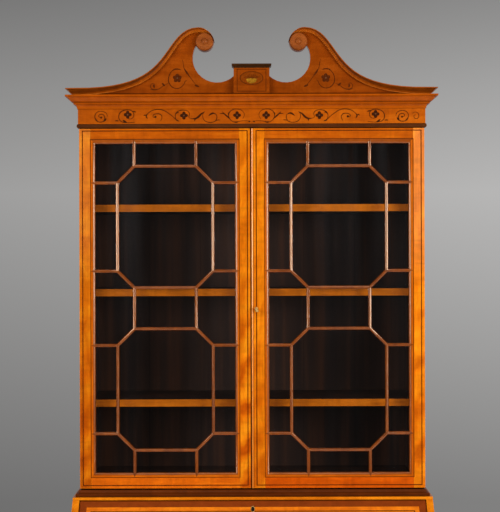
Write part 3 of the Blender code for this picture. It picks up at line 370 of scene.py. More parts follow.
def wood(name, along, tones, seed=0.0, gloss=0.20, shine=0.22, coat=0.05, dirt_and_shade_reach=0.012, dirt_and_shade=0.8,
         flame=0.06, foot=0.0, painted_sheen=0.0, relief=0.03, tint=AMBER, ior=1.5, dark_below=None, painted_light=None):
    """Polished wood: streaks and fine lines along the grain, a ripple across it, dirt with painted
    shade in hollows, and worn edges with a painted highlight.

    A broad leaning flame figure grows and the tone deepens towards the foot of the doors, and a
    painted sheen, standing for a reflection, grows towards their head. The tone may darken below a
    level, and painted highlight and shade may follow a moulding.
    """
    dark, middle, light = tones
    s = Surface(name)
    shift = (seed * 1.7, seed * 0.9, seed * 2.3)

    def grain(scales, **settings):
        return s.noise(s.stretched(grain_scale(along, *scales), shift), **settings)

    lines = grain(FIBRES, detail=5, roughness=0.65)
    pores = grain(PORES, detail=2)
    streaks = grain(STREAKS, detail=6, distortion=0.6)
    mottle = grain(MOTTLE, detail=3, distortion=0.9)
    colour = s.ramp(s.mix(0.5, streaks, mottle), (0.41, dark), (0.50, middle), (0.59, light))
    ripples = s.ramp(grain(RIPPLE, detail=3, distortion=1.2), *RIPPLE_SHADES)
    colour = s.mix(0.5, colour, ripples, "MULTIPLY")
    flames = s.ramp(s.leaning_bands(FLAME_SIZES, FLAME_LEAN, shift), *FLAME_SHADES)
    colour = s.mix(s.along("Z", FLAME_LOW, FLAME_HIGH, flame, 0.3 * flame), colour, flames, "MULTIPLY")
    if foot:
        deeper = s.along("Z", FLAME_LOW, FLAME_HIGH, foot, 0.0)
        colour = s.mix(deeper, colour, FOOT_TINT, "MULTIPLY")
    # A painted sheen towards the head of the doors, standing for a reflection on the polish
    if painted_sheen:
        colour = s.mix(s.along("Z", PAINTED_SHEEN_LOW, PAINTED_SHEEN_HIGH, 0.0, painted_sheen), colour, PAINTED_SHEEN_TONE)
    # Painted highlight and shade across a moulding, by its depth
    if painted_light:
        depth = s.along("Y", FRIEZE_FACE - RAKE_DEPTH, FRIEZE_FACE, 1.0, 0.0)
        colour = s.mix(1.0, colour, s.ramp(depth, *painted_light), "MULTIPLY")
    colour = s.mix(0.35, colour, s.ramp(lines, *FIBRE_SHADES), "MULTIPLY")
    colour = s.mix(0.2, colour, s.ramp(pores, *PORE_SHADES), "MULTIPLY")
    # Outer edges lightened towards the light tone: wear, and a painted highlight along them
    colour = s.mix(s.math("MULTIPLY", s.edges(WORN_AND_LIT_EDGE), WEAR_AND_HIGHLIGHT), colour, (*light, 1))
    # Darker in hollows and along joints: dirt, and painted shade where less light reaches
    colour = s.mix(dirt_and_shade, colour, s.ramp(s.crevices(dirt_and_shade_reach), *DIRT_AND_SHADE_RAMP), "MULTIPLY")
    # Darker below a level, fading over a small height
    if dark_below:
        darkening = s.along("Z", dark_below, dark_below + DARK_BELOW_FADE, DARK_BELOW_STRENGTH, 0.0)
        colour = s.mix(darkening, colour, DARK_BELOW_TINT, "MULTIPLY")
    s.bump(s.mix(0.5, lines, pores), GRAIN_DEPTH, relief)
    return s.finish(Base_Color=colour, Roughness=s.span(lines, 0.3, 0.7, gloss - 0.04, gloss + 0.06),
                    Specular_IOR_Level=shine, Specular_Tint=tint, IOR=ior,
                    Coat_Weight=coat, Coat_Roughness=0.12)


def planks(name, tones, width, seed=0.0):
    """Unpolished upright boards with open joints, for backs and insides."""
    dark, middle, light = tones
    s = Surface(name)
    shift = (seed, 0, seed)
    streaks = s.noise(s.stretched(grain_scale(UP, 1.2, 30), shift), detail=6, distortion=0.4)
    lines = s.noise(s.stretched(grain_scale(UP, 7, 420), shift), detail=4)
    axes = s.add("ShaderNodeSeparateXYZ")
    s.feed(axes.inputs[0], s.place)
    across = s.math("PINGPONG", axes.outputs["X"], width / 2)
    joint = s.span(across, 0.0, 0.0012, 0.25, 1.0)
    colour = s.ramp(streaks, (0.30, dark), (0.50, middle), (0.70, light))
    colour = s.mix(0.6, colour, s.ramp(lines, (0.3, grey(0.7)), (0.65, grey(1.1))), "MULTIPLY")
    colour = s.mix(1.0, colour, joint, "MULTIPLY")
    s.bump(s.mix(0.5, lines, joint), 0.0006, 0.35)
    return s.finish(Base_Color=colour, Roughness=s.span(lines, 0.3, 0.7, 0.5, 0.75),
                    Specular_IOR_Level=0.1)


def brass(name):
    """Old polished brass with darker tarnish in patches and hollows."""
    s = Surface(name)
    patches = s.noise(s.stretched((160, 160, 160)), detail=5)
    scratches = s.noise(s.stretched((900, 900, 140)), detail=3)
    colour = s.ramp(patches, (0.30, (0.50, 0.27, 0.06)), (0.52, (0.84, 0.55, 0.17)),
                    (0.75, (0.95, 0.74, 0.34)))
    tarnish = s.ramp(s.crevices(0.003), (0.25, grey(0.25)), (0.75, grey(1.0)))
    colour = s.mix(0.8, colour, tarnish, "MULTIPLY")
    s.bump(scratches, 0.0002, 0.10)
    return s.finish(Base_Color=colour, Metallic=0.6, Roughness=s.span(patches, 0.3, 0.7, 0.40, 0.28))


def glass(name):
    """Old drawn glass, thin and clear, with faint ripples and a film that is partly dust and partly a
    painted reflection of the room.
    """
    s = Surface(name)
    ripples = s.noise(s.stretched((9, 9, 3.2)), detail=2)
    smears = s.noise(s.stretched((26, 26, 11)), detail=5)
    # Upright wiped streaks, stronger towards the top: dust, and a painted reflection of the room
    wiped = s.span(s.noise(s.stretched((17, 17, 0.9)), detail=3, roughness=0.5), 0.42, 0.75, 0.08, 1.0)
    dust_and_reflection = s.math("MULTIPLY", wiped, s.along("Z", GLASS_DUST_AND_SHEEN_LOW, GLASS_DUST_AND_SHEEN_HIGH, 0.25, 1.0))
    s.bump(ripples, 0.0012, 0.05)
    return s.finish(Base_Color=s.ramp(dust_and_reflection, (0.0, grey(0.002)), (1.0, (0.105, 0.108, 0.112))),
                    Roughness=s.span(smears, 0.35, 0.75, 0.03, 0.08),
                    Specular_IOR_Level=1.0, IOR=2.4, Alpha=0.07)


def leather(name):
    """Tooled desk leather with a pebbled grain."""
    s = Surface(name)
    cells = s.add("ShaderNodeTexVoronoi", feature="SMOOTH_F1")
    s.feed(cells.inputs["Vector"], s.place)
    s.feed(cells.inputs["Scale"], 620.0)
    patches = s.noise(s.stretched((14, 14, 14)), detail=5)
    colour = s.ramp(patches, (0.30, (0.012, 0.034, 0.016)), (0.55, (0.022, 0.060, 0.028)),
                    (0.78, (0.045, 0.090, 0.045)))
    s.bump(cells.outputs["Distance"], 0.0006, 0.5)
    return s.finish(Base_Color=colour, Roughness=s.span(patches, 0.3, 0.7, 0.42, 0.60))


def stain(name, dark, light, gloss=0.22, shine=0.2):
    """Inlaid wood too small to show a grain: two tones in fine mottles."""
    s = Surface(name)
    mottle = s.noise(s.stretched((240, 240, 240)), detail=4)
    s.bump(mottle, 0.0002, 0.05)
    return s.finish(Base_Color=s.ramp(mottle, (0.32, dark), (0.68, light)),
                    Roughness=s.span(mottle, 0.3, 0.7, gloss - 0.04, gloss + 0.06),
                    Specular_IOR_Level=shine, Specular_Tint=AMBER)


def floor_material():
    """Pale matt floor with a faint cloud."""
    s = Surface("studio_floor")
    cloud = s.noise(s.stretched((0.7, 0.7, 0.7)), detail=3)
    return s.finish(Base_Color=s.ramp(cloud, (0.3, (0.66, 0.655, 0.645)), (0.7, (0.72, 0.715, 0.705))),
                    Roughness=s.span(cloud, 0.3, 0.7, 0.6, 0.75))


# Tones from dark to light of each wood
GOLDEN = ((0.660, 0.150, 0.002), (0.779, 0.188, 0.003), (0.910, 0.255, 0.005))
RAIL = ((0.499, 0.088, 0.002), (0.592, 0.108, 0.002), (0.680, 0.140, 0.003))
HEAD = ((0.397, 0.072, 0.002), (0.469, 0.089, 0.002), (0.540, 0.112, 0.003))
CORNICE = ((0.348, 0.060, 0.001), (0.414, 0.073, 0.001), (0.480, 0.092, 0.002))
PEDIMENT = ((0.231, 0.038, 0.001), (0.275, 0.046, 0.001), (0.330, 0.060, 0.002))
ROSETTE = ((0.236, 0.053, 0.007), (0.280, 0.063, 0.009), (0.340, 0.082, 0.012))
BARS = ((0.176, 0.031, 0.001), (0.228, 0.043, 0.001), (0.280, 0.056, 0.002))
DARK = ((0.066, 0.016, 0.003), (0.083, 0.020, 0.003), (0.105, 0.026, 0.004))
CAP = ((0.032, 0.011, 0.003), (0.041, 0.014, 0.003), (0.055, 0.018, 0.004))
WAIST = ((0.146, 0.027, 0.003), (0.181, 0.033, 0.003), (0.220, 0.042, 0.004))
CROSS = ((0.216, 0.033, 0.003), (0.271, 0.042, 0.004), (0.320, 0.052, 0.005))
FALL = ((0.738, 0.150, 0.003), (0.865, 0.184, 0.004), (0.980, 0.245, 0.006))
REDDISH = ((0.545, 0.073, 0.001), (0.645, 0.088, 0.001), (0.740, 0.115, 0.002))
# The inside's tones are far darker than the wood: painted shade for the inside of the case
INSIDE_IN_SHADE = ((0.016, 0.008, 0.006), (0.028, 0.013, 0.008), (0.060, 0.021, 0.009))
SHELF = ((0.426, 0.106, 0.004), (0.514, 0.127, 0.004), (0.580, 0.150, 0.006))
PINE = ((0.241, 0.117, 0.048), (0.296, 0.148, 0.060), (0.340, 0.175, 0.075))
NEST = ((0.399, 0.128, 0.026), (0.465, 0.153, 0.030), (0.520, 0.180, 0.038))

MATERIALS = {
    "brass": brass("old_brass"),
    "glass": glass("old_glass"),
    "leather": leather("desk_leather"),
    "dark_inlay": stain("dark_inlay", (0.024, 0.006, 0.002), (0.066, 0.015, 0.003)),
    "faint_inlay": stain("faint_inlay", (0.058, 0.011, 0.002), (0.110, 0.020, 0.002)),
    "string": stain("dark_string", (0.080, 0.013, 0.001), (0.140, 0.024, 0.002)),
    "flower_eye": stain("flower_eye", (0.10, 0.035, 0.014), (0.17, 0.065, 0.028)),
    "shell": stain("shaded_boxwood", (0.20, 0.075, 0.004), (0.44, 0.20, 0.012)),
    "oval": stain("oval_veneer", (0.17, 0.030, 0.001), (0.26, 0.048, 0.002)),
    "gilt": stain("gilt_line", (0.45, 0.26, 0.06), (0.75, 0.50, 0.15), 0.30, 0.5),
    # Near-black patch for keyholes: painted shade for the hole
    "keyhole": stain("keyhole", (0.004, 0.003, 0.003), (0.010, 0.008, 0.006), 0.6),
    "cross_x": wood("crossband_grain_x", ACROSS, shaded(CROSS, 0.88), 0.31),
    "cross_z": wood("crossband_grain_z", UP, shaded(CROSS, 0.88), 0.47),
    # Wood for the inside of the case, painted dark as painted shade
    "inside": planks("bookcase_inside_in_shade", INSIDE_IN_SHADE, BOOKCASE_BOARD),
}

# Woods of the frame's nodes: tones and the axis of the grain
NODE_WOODS = {
    "bookcase_side": (GOLDEN, UP),
    "bookcase_top": (PINE, ACROSS),
    "bookcase_bottom": (INSIDE_IN_SHADE, ACROSS),
    "shelf": (SHELF, ACROSS),
    "frieze_bead": (DARK, ACROSS),
    "frieze": (HEAD, ACROSS),
    "cornice": (CORNICE, ACROSS),
    "pediment_board": (PEDIMENT, ACROSS),
    "swan_neck": (HEAD, ACROSS),
    "rosette": (ROSETTE, ACROSS),
    "pedestal_block": (PEDIMENT, ACROSS),
    "pedestal_cap": (CAP, ACROSS),
    "stile": (GOLDEN, UP),
    "left_hinge_stile": (shaded(GOLDEN, 0.86), UP),
    "right_hinge_stile": (shaded(GOLDEN, 1.12), UP),
    "left_bottom_rail": (shaded(RAIL, 1.3), ACROSS),
    "right_bottom_rail": (REDDISH, ACROSS),
    "rail": (RAIL, ACROSS),
    "top_rail": (shaded(RAIL, 0.88), ACROSS),
    "glazing_bars": (BARS, UP),
    "meeting_bead": (GOLDEN, UP),
    "bureau_side": (GOLDEN, UP),
    "bureau_top": (GOLDEN, ACROSS),
    "waist_moulding": (shaded(WAIST, 0.70), ACROSS),
    "writing_bed": (GOLDEN, ACROSS),
    "drawer_rail": (RAIL, ACROSS),
    "base": (RAIL, ACROSS),
    "pigeonholes": (NEST, ACROSS),
    "fall_front": (FALL, ACROSS),
    "loper": (GOLDEN, UP),
    "drawer": (GOLDEN, ACROSS),
}

# Polish, figure and painted light where they differ from the flat faces: rounded edges catch the
# light, dark mouldings are dull; painted sheen, highlight and shade are set here too
POLISH_AND_PAINTED_LIGHT = {
    "left_hinge_stile": {"flame": 0.45, "foot": 0.75, "painted_sheen": 0.03},
    "left_meeting_stile": {"flame": 0.75, "foot": 0.45},
    "right_meeting_stile": {"flame": 0.30, "foot": 0.20},
    "right_hinge_stile": {"flame": 0.45, "foot": 0.25, "painted_sheen": 0.08},
    "glazing_bars": {"gloss": 0.22, "shine": 1.0, "coat": 0.4, "dirt_and_shade_reach": 0.006, "relief": 0.0,
                     "tint": PEACH, "ior": 1.75},
    "meeting_bead": {"gloss": 0.30, "shine": 1.0, "coat": 0.4, "dirt_and_shade_reach": 0.003, "relief": 0.0,
                     "tint": PEACH, "ior": 1.75},
    "frieze_bead": {"gloss": 0.34, "shine": 0.12, "coat": 0.0},
    "pedestal_cap": {"gloss": 0.36, "shine": 0.12, "coat": 0.0},
    "rosette": {"gloss": 0.34, "shine": 0.15, "coat": 0.0, "dirt_and_shade_reach": 0.007},
    "waist_moulding": {"gloss": 0.32, "shine": 0.15, "coat": 0.0},
    # The cornice's quirks are darkened strongly: painted shade, with dirt
    "cornice": {"dirt_and_shade_reach": 0.008, "dirt_and_shade": 1.0, "flame": 0.1},
    "swan_neck": {"gloss": 0.26, "dirt_and_shade_reach": 0.004, "dirt_and_shade": 0.1, "shine": 0.6, "coat": 0.1, "relief": 0.0,
                  "painted_light": RAKE_PAINTED_LIGHT},
    "pediment_board": {"dirt_and_shade": 0.15, "dark_below": PEDIMENT_FOOT + 0.0050},
    "pedestal_block": {"dark_below": PEDIMENT_FOOT + 0.0030},
    "fall_front": {"shine": 0.4, "coat": 0.2},
}


def wear(node, *materials):
    """Give a node its materials, in the order of its slots."""
    node.data.materials.clear()
    for material in materials:
        node.data.materials.append(material)


def paint(node, slot, rule):
    """Put the faces that a rule picks by centre and normal into a material slot."""
    for face in node.data.polygons:
        if rule(face.center, face.normal):
            face.material_index = slot


def soften(node):
    """Shade a node's curves smooth.

    Each corner's normal is the mean of those that meet it at a low angle.
    """
    mesh = node.data

    def spot(index):
        return tuple(round(c, 5) for c in mesh.vertices[index].co)

    meeting = {}
    for face in mesh.polygons:
        points = [mesh.vertices[index].co for index in face.vertices]
        for i, index in enumerate(face.vertices):
            after = points[(i + 1) % len(points)]
            spread = (points[i - 1] - points[i]).angle(after - points[i], 0.0)
            meeting.setdefault(spot(index), []).append((face.normal, face.area * spread))
    normals = []
    for face in mesh.polygons:
        for index in face.vertices:
            parts = [normal * weight for normal, weight in meeting[spot(index)]
                     if normal.angle(face.normal, 0.0) < SMOOTH_ANGLE]
            normals.append(sum(parts, Vector()).normalized())
    mesh.shade_smooth()
    mesh.normals_split_custom_set(normals)


def longest(names, text):
    """The longest of the names that a text holds."""
    return max((name for name in names if name in text), key=len, default=None)


def dress_nodes():
    """Give every node of the frame its material."""
    for index, (name, node) in enumerate(sorted(NODES.items())):
        if "hinge_" in name and "leaf" in name or name == "door_key":
            wear(node, MATERIALS["brass"])
        elif "glass" in name:
            wear(node, MATERIALS["glass"])
        elif name == "bookcase_back":
            outside = planks("bookcase_back_outside", PINE, BOOKCASE_BOARD, 0.3)
            # The back's inner face takes the inside's wood, painted dark as painted shade
            wear(node, MATERIALS["inside"], outside)
            paint(node, 1, lambda centre, normal: normal.y > 0.5)
        elif name == "bureau_back":
            wear(node, planks("bureau_back_boards", PINE, BUREAU_BOARD, 0.6))
        else:
            tones, along = NODE_WOODS[longest(NODE_WOODS, name)]
            finish = POLISH_AND_PAINTED_LIGHT.get(longest(POLISH_AND_PAINTED_LIGHT, name), {})
            wear(node, wood(f"{name}_wood", along, tones, 0.37 * index, **finish))
        soften(node)


def paint_insides():
    """Unpolished wood inside the bookcase and on all but the front of its shelves, painted far darker
    than the wood as painted shade.
    """
    for side, sign in SIDES.items():
        node = NODES[f"bookcase_side_{side}"]
        node.data.materials.append(MATERIALS["inside"])
        paint(node, 1, lambda centre, normal: sign * normal.x < -0.5)
    for level in ("upper", "middle", "lower"):
        node = NODES[f"shelf_{level}"]
        node.data.materials.append(MATERIALS["inside"])
        paint(node, 1, lambda centre, normal: normal.y > -0.5)


def border_slot(lo, hi, centre, normal):
    """Slot of a face of the bead round the glass, by its run and its lean; 0 for the lattice.

    The top run is dark all over: painted shade under the top rail.
    """
    # The top run never reaches the bright slope: painted shade under the rail
    gap, lean, first = min((centre.x - lo.x, -normal.x, 3), (hi.x - centre.x, normal.x, 3),
                           (centre.z - lo.z, -normal.z, 1), (hi.z - centre.z, -1.0, 1))
    if gap > BORDER_BEAD:
        return 0
    return first + (lean > BORDER_LEAN)


def paint_pane_borders():
    """A dark inner and a bright outer slope on the bead round each door's glass, with painted shade on
    its top run.
    """
    borders = []
    for run, along in (("level", ACROSS), ("upright", UP)):
        borders.append(wood(f"pane_bead_{run}_wood", along, shaded(BARS, 1.3), 0.4, gloss=0.26,
                            shine=0.8, coat=0.2, dirt_and_shade_reach=0.004, relief=0.0, tint=PEACH))
        borders.append(wood(f"pane_border_{run}_wood", along, RAIL, 0.6, dirt_and_shade_reach=0.003,
                            dirt_and_shade=0.3, relief=0.0))
    for side in SIDES:
        node = NODES[f"door_{side}_glazing_bars"]
        lo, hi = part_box(f"door_{side}_glazing_bars")
        for slot, border in enumerate(borders, 1):
            node.data.materials.append(border)
            paint(node, slot, lambda centre, normal: border_slot(lo, hi, centre, normal) == slot)


def is_knob(name, centre):
    """Whether a face of a drawer or loper belongs to a knob on its front."""
    if centre.y > FRONT - 0.0001:
        return False
    if name.startswith("loper"):
        return True
    lo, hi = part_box(name)
    dx = abs(centre.x) - (HALF_BUREAU - KNOB_INSET)
    dz = centre.z - (lo.z + hi.z) / 2
    return math.hypot(dx, dz) < 1.2 * KNOB_RADIUS


def paint_fall_and_knobs():
    """Crossbanding on the fall's rounded edges and brass on the knobs."""
    fall = NODES["fall_front"]
    fall.data.materials.append(MATERIALS["cross_x"])
    outward = Vector((0, -math.sin(FALL_SLOPE), math.cos(FALL_SLOPE)))
    paint(fall, 1, lambda centre, normal: 0.05 < normal.dot(outward) < 0.995 and normal.y > -0.99)
    for name in ("drawer_top", "drawer_middle", "drawer_bottom", "loper_left", "loper_right"):
        node = NODES[name]
        node.data.materials.append(MATERIALS["brass"])
        paint(node, 1, lambda centre, normal: is_knob(name, centre))


# Thin pieces

def upright(face):
    """A place on an upright front: along X, up Z, out towards the viewer."""
    return lambda u, v, out: (u, face - out, v)


def on_fall(u, v, out):
    """A place on the closed fall: along X, up the slope from the hinges, out from the inner face."""
    cosine = math.cos(FALL_SLOPE)
    sine = math.sin(FALL_SLOPE)
    return (u, HINGE_LINE.y + v * cosine - out * sine, HINGE_LINE.z + v * sine + out * cosine)


def outside_fall(u, v, out):
    return on_fall(u, v, FALL_THICK + out)


def inside_fall(u, v, out):
    return on_fall(u, v, -out)


def lifted(place, rise):
    """The same places, raised from the face."""
    return lambda u, v, out: place(u, v, out + rise)


def new_piece(name, bm, body, slot, *materials, smooth=False):
    """Turn a mesh into a piece that rides on a body."""
    bmesh.ops.recalc_face_normals(bm, faces=bm.faces)
    mesh = bpy.data.meshes.new(name)
    bm.to_mesh(mesh)
    bm.free()
    piece = bpy.data.objects.new(name, mesh)
    bpy.context.scene.collection.objects.link(piece)
    for material in materials:
        mesh.materials.append(material)
    if smooth:
        mesh.shade_smooth()
        mesh.set_sharp_from_angle(angle=PIECE_SMOOTH_ANGLE)
    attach(piece, body)
    return piece


def loft(bm, rings, slot=0, capped=True):
    """Skin rings of equally many points."""
    loops = [[bm.verts.new(point) for point in ring] for ring in rings]
    count = len(loops[0])
    faces = []
    for first, second in zip(loops, loops[1:]):
        for i in range(count):
            j = (i + 1) % count
            faces.append(bm.faces.new((first[i], first[j], second[j], second[i])))
    if capped:
        faces.append(bm.faces.new(loops[0]))
        faces.append(bm.faces.new(loops[-1]))
    for face in faces:
        face.material_index = slot


def ribbon(bm, place, points, widths, slot=0, proud=PROUD):
    """A flat band along a line of points, as a thin solid let into a face."""
    rings = []
    last = len(points) - 1
    for i, (u, v) in enumerate(points):
        before = points[max(i - 1, 0)]
        after = points[min(i + 1, last)]
        way = Vector((after[0] - before[0], after[1] - before[1])).normalized()
        half = widths[i] / 2
        du = -way.y * half
        dv = way.x * half
        rings.append([place(u - du, v - dv, -SUNK), place(u - du, v - dv, proud),
                      place(u + du, v + dv, proud), place(u + du, v + dv, -SUNK)])
    loft(bm, rings, slot)


def patch(bm, place, outline, slot=0, proud=PROUD):
    """A flat shape with any outline, as a thin solid let into a face."""
    loft(bm, [[place(u, v, out) for u, v in outline] for out in (-SUNK, proud)], slot)


def frame_band(bm, place, low, high, width, slots=(0, 0)):
    """Four mitred strips round a rectangle; slots are those of the level and the upright strips."""
    def corners(inset):
        u0, v0 = low[0] + inset, low[1] + inset
        u1, v1 = high[0] - inset, high[1] - inset
        return [(u0, v0), (u1, v0), (u1, v1), (u0, v1)]

    outer = corners(0.0)
    inner = corners(width)
    for i in range(4):
        j = (i + 1) % 4
        patch(bm, place, [outer[i], outer[j], inner[j], inner[i]], slots[i % 2])


def taper(count, width, ends):
    """Stroke widths that swell from a share of the width at the ends to all of it in the middle."""
    return [width * (ends + (1 - ends) * math.sin(math.pi * i / (count - 1))) for i in range(count)]


def ellipse(centre, across, up, start=0.0, sweep=2 * math.pi, steps=24):
    """Points on an oval, without the closing point on a full turn."""
    full = abs(abs(sweep) - 2 * math.pi) < 1e-6
    points = []
    for i in range(steps if full else steps + 1):
        angle = start + sweep * i / steps
        points.append((centre[0] + across * math.cos(angle), centre[1] + up * math.sin(angle)))
    return points


def through(*points, steps=6):
    """A smooth line through points that are given in millimetres."""
    ends = [0.001 * Vector(point) for point in (points[0], *points, points[-1])]
    line = []
    for a, b, c, d in zip(ends, ends[1:], ends[2:], ends[3:]):
        for i in range(steps):
            t = i / steps
            square = 2 * a - 5 * b + 4 * c - d
            cube = 3 * b - a - 3 * c + d
            line.append(tuple(0.5 * (2 * b + (c - a) * t + square * t ** 2 + cube * t ** 3)))
    line.append(tuple(ends[-1]))
    return line


# Inlay

class Inlay:
    """Draws scrolls, leaves and flowers on one half of a face, mirrored by its sign.

    Places are in millimetres, outwards from the centre line and up from a level.
    """

    def __init__(self, face, sign, level, spread=1.0):
        flat = upright(face)
        self.place = lambda u, v, out: flat(sign * spread * u, level + v, out)
        self.lines = bmesh.new()
        self.eyes = bmesh.new()
        self.proud = PROUD

    def next_layer(self):
        """How far the next piece stands proud: a little more than the last, so none share a plane."""
        self.proud += LAYER
        return self.proud

    def stroke(self, *points, width=STROKE):
        line = through(*points)
        widths = taper(len(line), width, STROKE_ENDS)
        ribbon(self.lines, self.place, line, widths, proud=self.next_layer())

    def leaf(self, width, *points):
        """A pointed leaf whose width is in millimetres too."""
        line = through(*points)
        widths = taper(len(line), 0.001 * width, LEAF_ENDS)
        ribbon(self.lines, self.place, line, widths, proud=self.next_layer())

    def dot(self, u, v, radius):
        outline = ellipse((0.001 * u, 0.001 * v), 0.001 * radius, 0.001 * radius, steps=12)
        patch(self.lines, self.place, outline, proud=self.next_layer())

    def flower(self, u, v, radius, petals):
        """Rounded petals round a paler eye."""
        centre = (0.001 * u, 0.001 * v)
        for i in range(petals):
            angle = math.pi / 2 + 2 * math.pi * i / petals
            cosine = math.cos(angle)
            sine = math.sin(angle)
            outline = []
            for along, side in ellipse((PETAL_PLACE, 0), PETAL_LENGTH, PETAL_WIDTH, steps=14):
                outline.append((centre[0] + radius * (along * cosine - side * sine),
                                centre[1] + radius * (along * sine + side * cosine)))
            patch(self.lines, self.place, outline, proud=self.next_layer())
        eye = ellipse(centre, EYE_RADIUS * radius, EYE_RADIUS * radius, steps=12)
        patch(self.eyes, self.place, eye, proud=self.next_layer() + LAYER)

    def make(self, name, tone):
        new_piece(f"{name}_lines", self.lines, "carcass", "mahogany", MATERIALS[tone])
        new_piece(f"{name}_eyes", self.eyes, "carcass", "satinwood", MATERIALS["flower_eye"])


def inlay_frieze():
    """Running scrolls with three flowers on each half of the frieze."""
    for side, sign in SIDES.items():
        art = Inlay(FRIEZE_FACE, sign, (BAND_FOOT + BAND_TOP) / 2, FRIEZE_SPREAD)
        art.dot(6.5, -14.3, 2.0)
        art.flower(39, 2.4, FRIEZE_FLOWER, 4)
        art.stroke((2, -13.6), (15, -12.3), (28, -12.8), (38, -15.2), (47, -15.6), (56, -10.5),
                   (61, -2), (61.5, 6), (57, 13), (48, 18), (38, 18.6), (28, 16), (21, 9), (20, 1),
                   (24, -7))
        art.leaf(3.4, (35, -14.2), (41, -16), (49, -15))
        art.leaf(3.0, (61.5, 0), (61.5, 7), (56, 13.5))
        art.leaf(3.4, (57, -9), (64, -2), (71, 4), (79, 12))
        art.leaf(2.4, (69, 4), (75, 6.8), (86, 6.3))
        art.stroke((126, 12.5), (130.5, 5), (130.5, -4), (126, -11.5), (117, -16), (106, -16.3),
                   (97, -12.5), (93, -4), (94.5, 3.5), (100, 7.5), (107, 7))
        art.leaf(4.2, (97, 5), (103, 7.8), (110, 5.2), (115.5, 0.5))
        art.leaf(1.8, (84, -10.3), (90, -10.2), (96, -12))
        art.leaf(5.0, (125.5, 11.8), (135, 6), (143, -2), (151, -6.2), (162, -6.5))
        art.leaf(2.4, (149, -6), (152, -9), (152.5, -13))
        art.flower(181.4, 1.9, FRIEZE_FLOWER, 4)
        art.stroke((160, -6.5), (168, -3), (166.5, 6), (170, 12.5), (178, 15.8), (189, 15.8),
                   (198, 12.5), (203.5, 6), (204.5, -2), (202, -8.5), (195, -13))
        art.leaf(3.4, (195, 9.5), (200, 10), (204.5, 5))
        art.leaf(3.0, (193.5, -13), (199.5, -11.3), (204, -6.5))
        art.stroke((195, -13.2), (204, -7.5), (212, 0), (222, 7.5), (232, 14), (242, 17.4),
                   (253, 18), (265, 15.8), (275, 10), (281, 3), (280.5, -4.5))
        art.leaf(3.0, (280.5, 6), (282.3, 0), (279, -6))
        art.leaf(2.6, (283, 2.5), (286, 3.2), (290, 1.5))
        art.stroke((244, -12.5), (240.5, -5), (241, 1.5), (246, 5.8), (254, 6.8), (262, 4.6),
                   (264.5, 0), (261, -3.5))
        art.dot(257.8, -1.6, 2.9)
        art.flower(332, 4.6, FRIEZE_FLOWER, 4)
        art.stroke((331.5, -5.5), (325, -7), (318.5, -3.5), (315.5, 3), (317, 10.5), (324, 16),
                   (335, 17.2), (346, 14.5), (353.5, 8.5), (356, 0), (354.5, -8), (349, -13.5),
                   (340, -16.5), (326, -16.7), (312, -15))
        art.leaf(2.6, (309.5, 11), (314, 12.6), (319, 14))
        art.leaf(5.0, (334, -17), (339.5, -14), (345, -9.5))
        art.leaf(2.6, (356, -12.3), (361, -11.4), (366, -12))
        art.stroke((403, -3), (409, -1), (409.5, 3), (403, 6), (396, 3.5), (393.5, -3), (395, -10),
                   (399, -14), (409, -14.5), (416, -10.5), (420, -2), (418, 7), (410, 13),
                   (398, 13), (389, 8), (386.5, 0))
        art.leaf(3.2, (390, -4), (391.6, -8.8), (396, -13.5))
        art.leaf(2.8, (412, -13), (416.6, -9.4), (419, -4))
        art.dot(403, -3, 2.4)
        if side == "right":
            art.stroke((431, 6), (438, 9.5), (446, 6), (448, -2), (443, -8), (436, -6), (435, 0),
                       (440, 2.5), width=CURL_STROKE)
        art.make(f"frieze_inlay_{side}", "dark_inlay")


def inlay_tympanum():
    """A flower in a scroll with a curl and a tendril on each half of the pediment."""
    for side, sign in SIDES.items():
        art = Inlay(FRIEZE_FACE, sign, PEDIMENT_FOOT - TYMPANUM_INLAY_DROP)
        art.flower(196.5, 50.4, TYMPANUM_FLOWER, 5)
        art.stroke((172, 45), (176, 41.5), (180, 33), (188, 25.8), (198, 23.4), (209, 26.5),
                   (217.5, 36), (220, 48), (216.5, 61), (208, 71), (198, 73.5), (188, 72.5),
                   width=SCROLL_STROKE)
        art.leaf(3.6, (186, 72.3), (195, 74.6), (205, 73.4), (213, 67))
        art.stroke((183, 100), (181, 92), (178, 76), (170, 63), (161, 51), (153, 40), (145, 31),
                   width=TENDRIL_STROKE)
        art.leaf(5.0, (164, 55), (169, 62), (173, 68), (178.5, 76))
        art.leaf(5.0, (138.5, 27.5), (144.5, 30), (150.5, 32))
        art.stroke((221, 37), (227, 34), (236, 28.5), (246, 22), (257, 20.3), (265.5, 24),
                   (267.5, 31), (262, 36.8), (256, 34))
        art.leaf(5.0, (229, 29.5), (233, 33.5), (237, 37.5))
        art.leaf(2.8, (246, 21.6), (257, 19.9), (269, 21.4))
        art.leaf(4.8, (257.4, 25), (258.4, 29.5), (258.6, 34.5))
        art.make(f"tympanum_inlay_{side}", "faint_inlay")


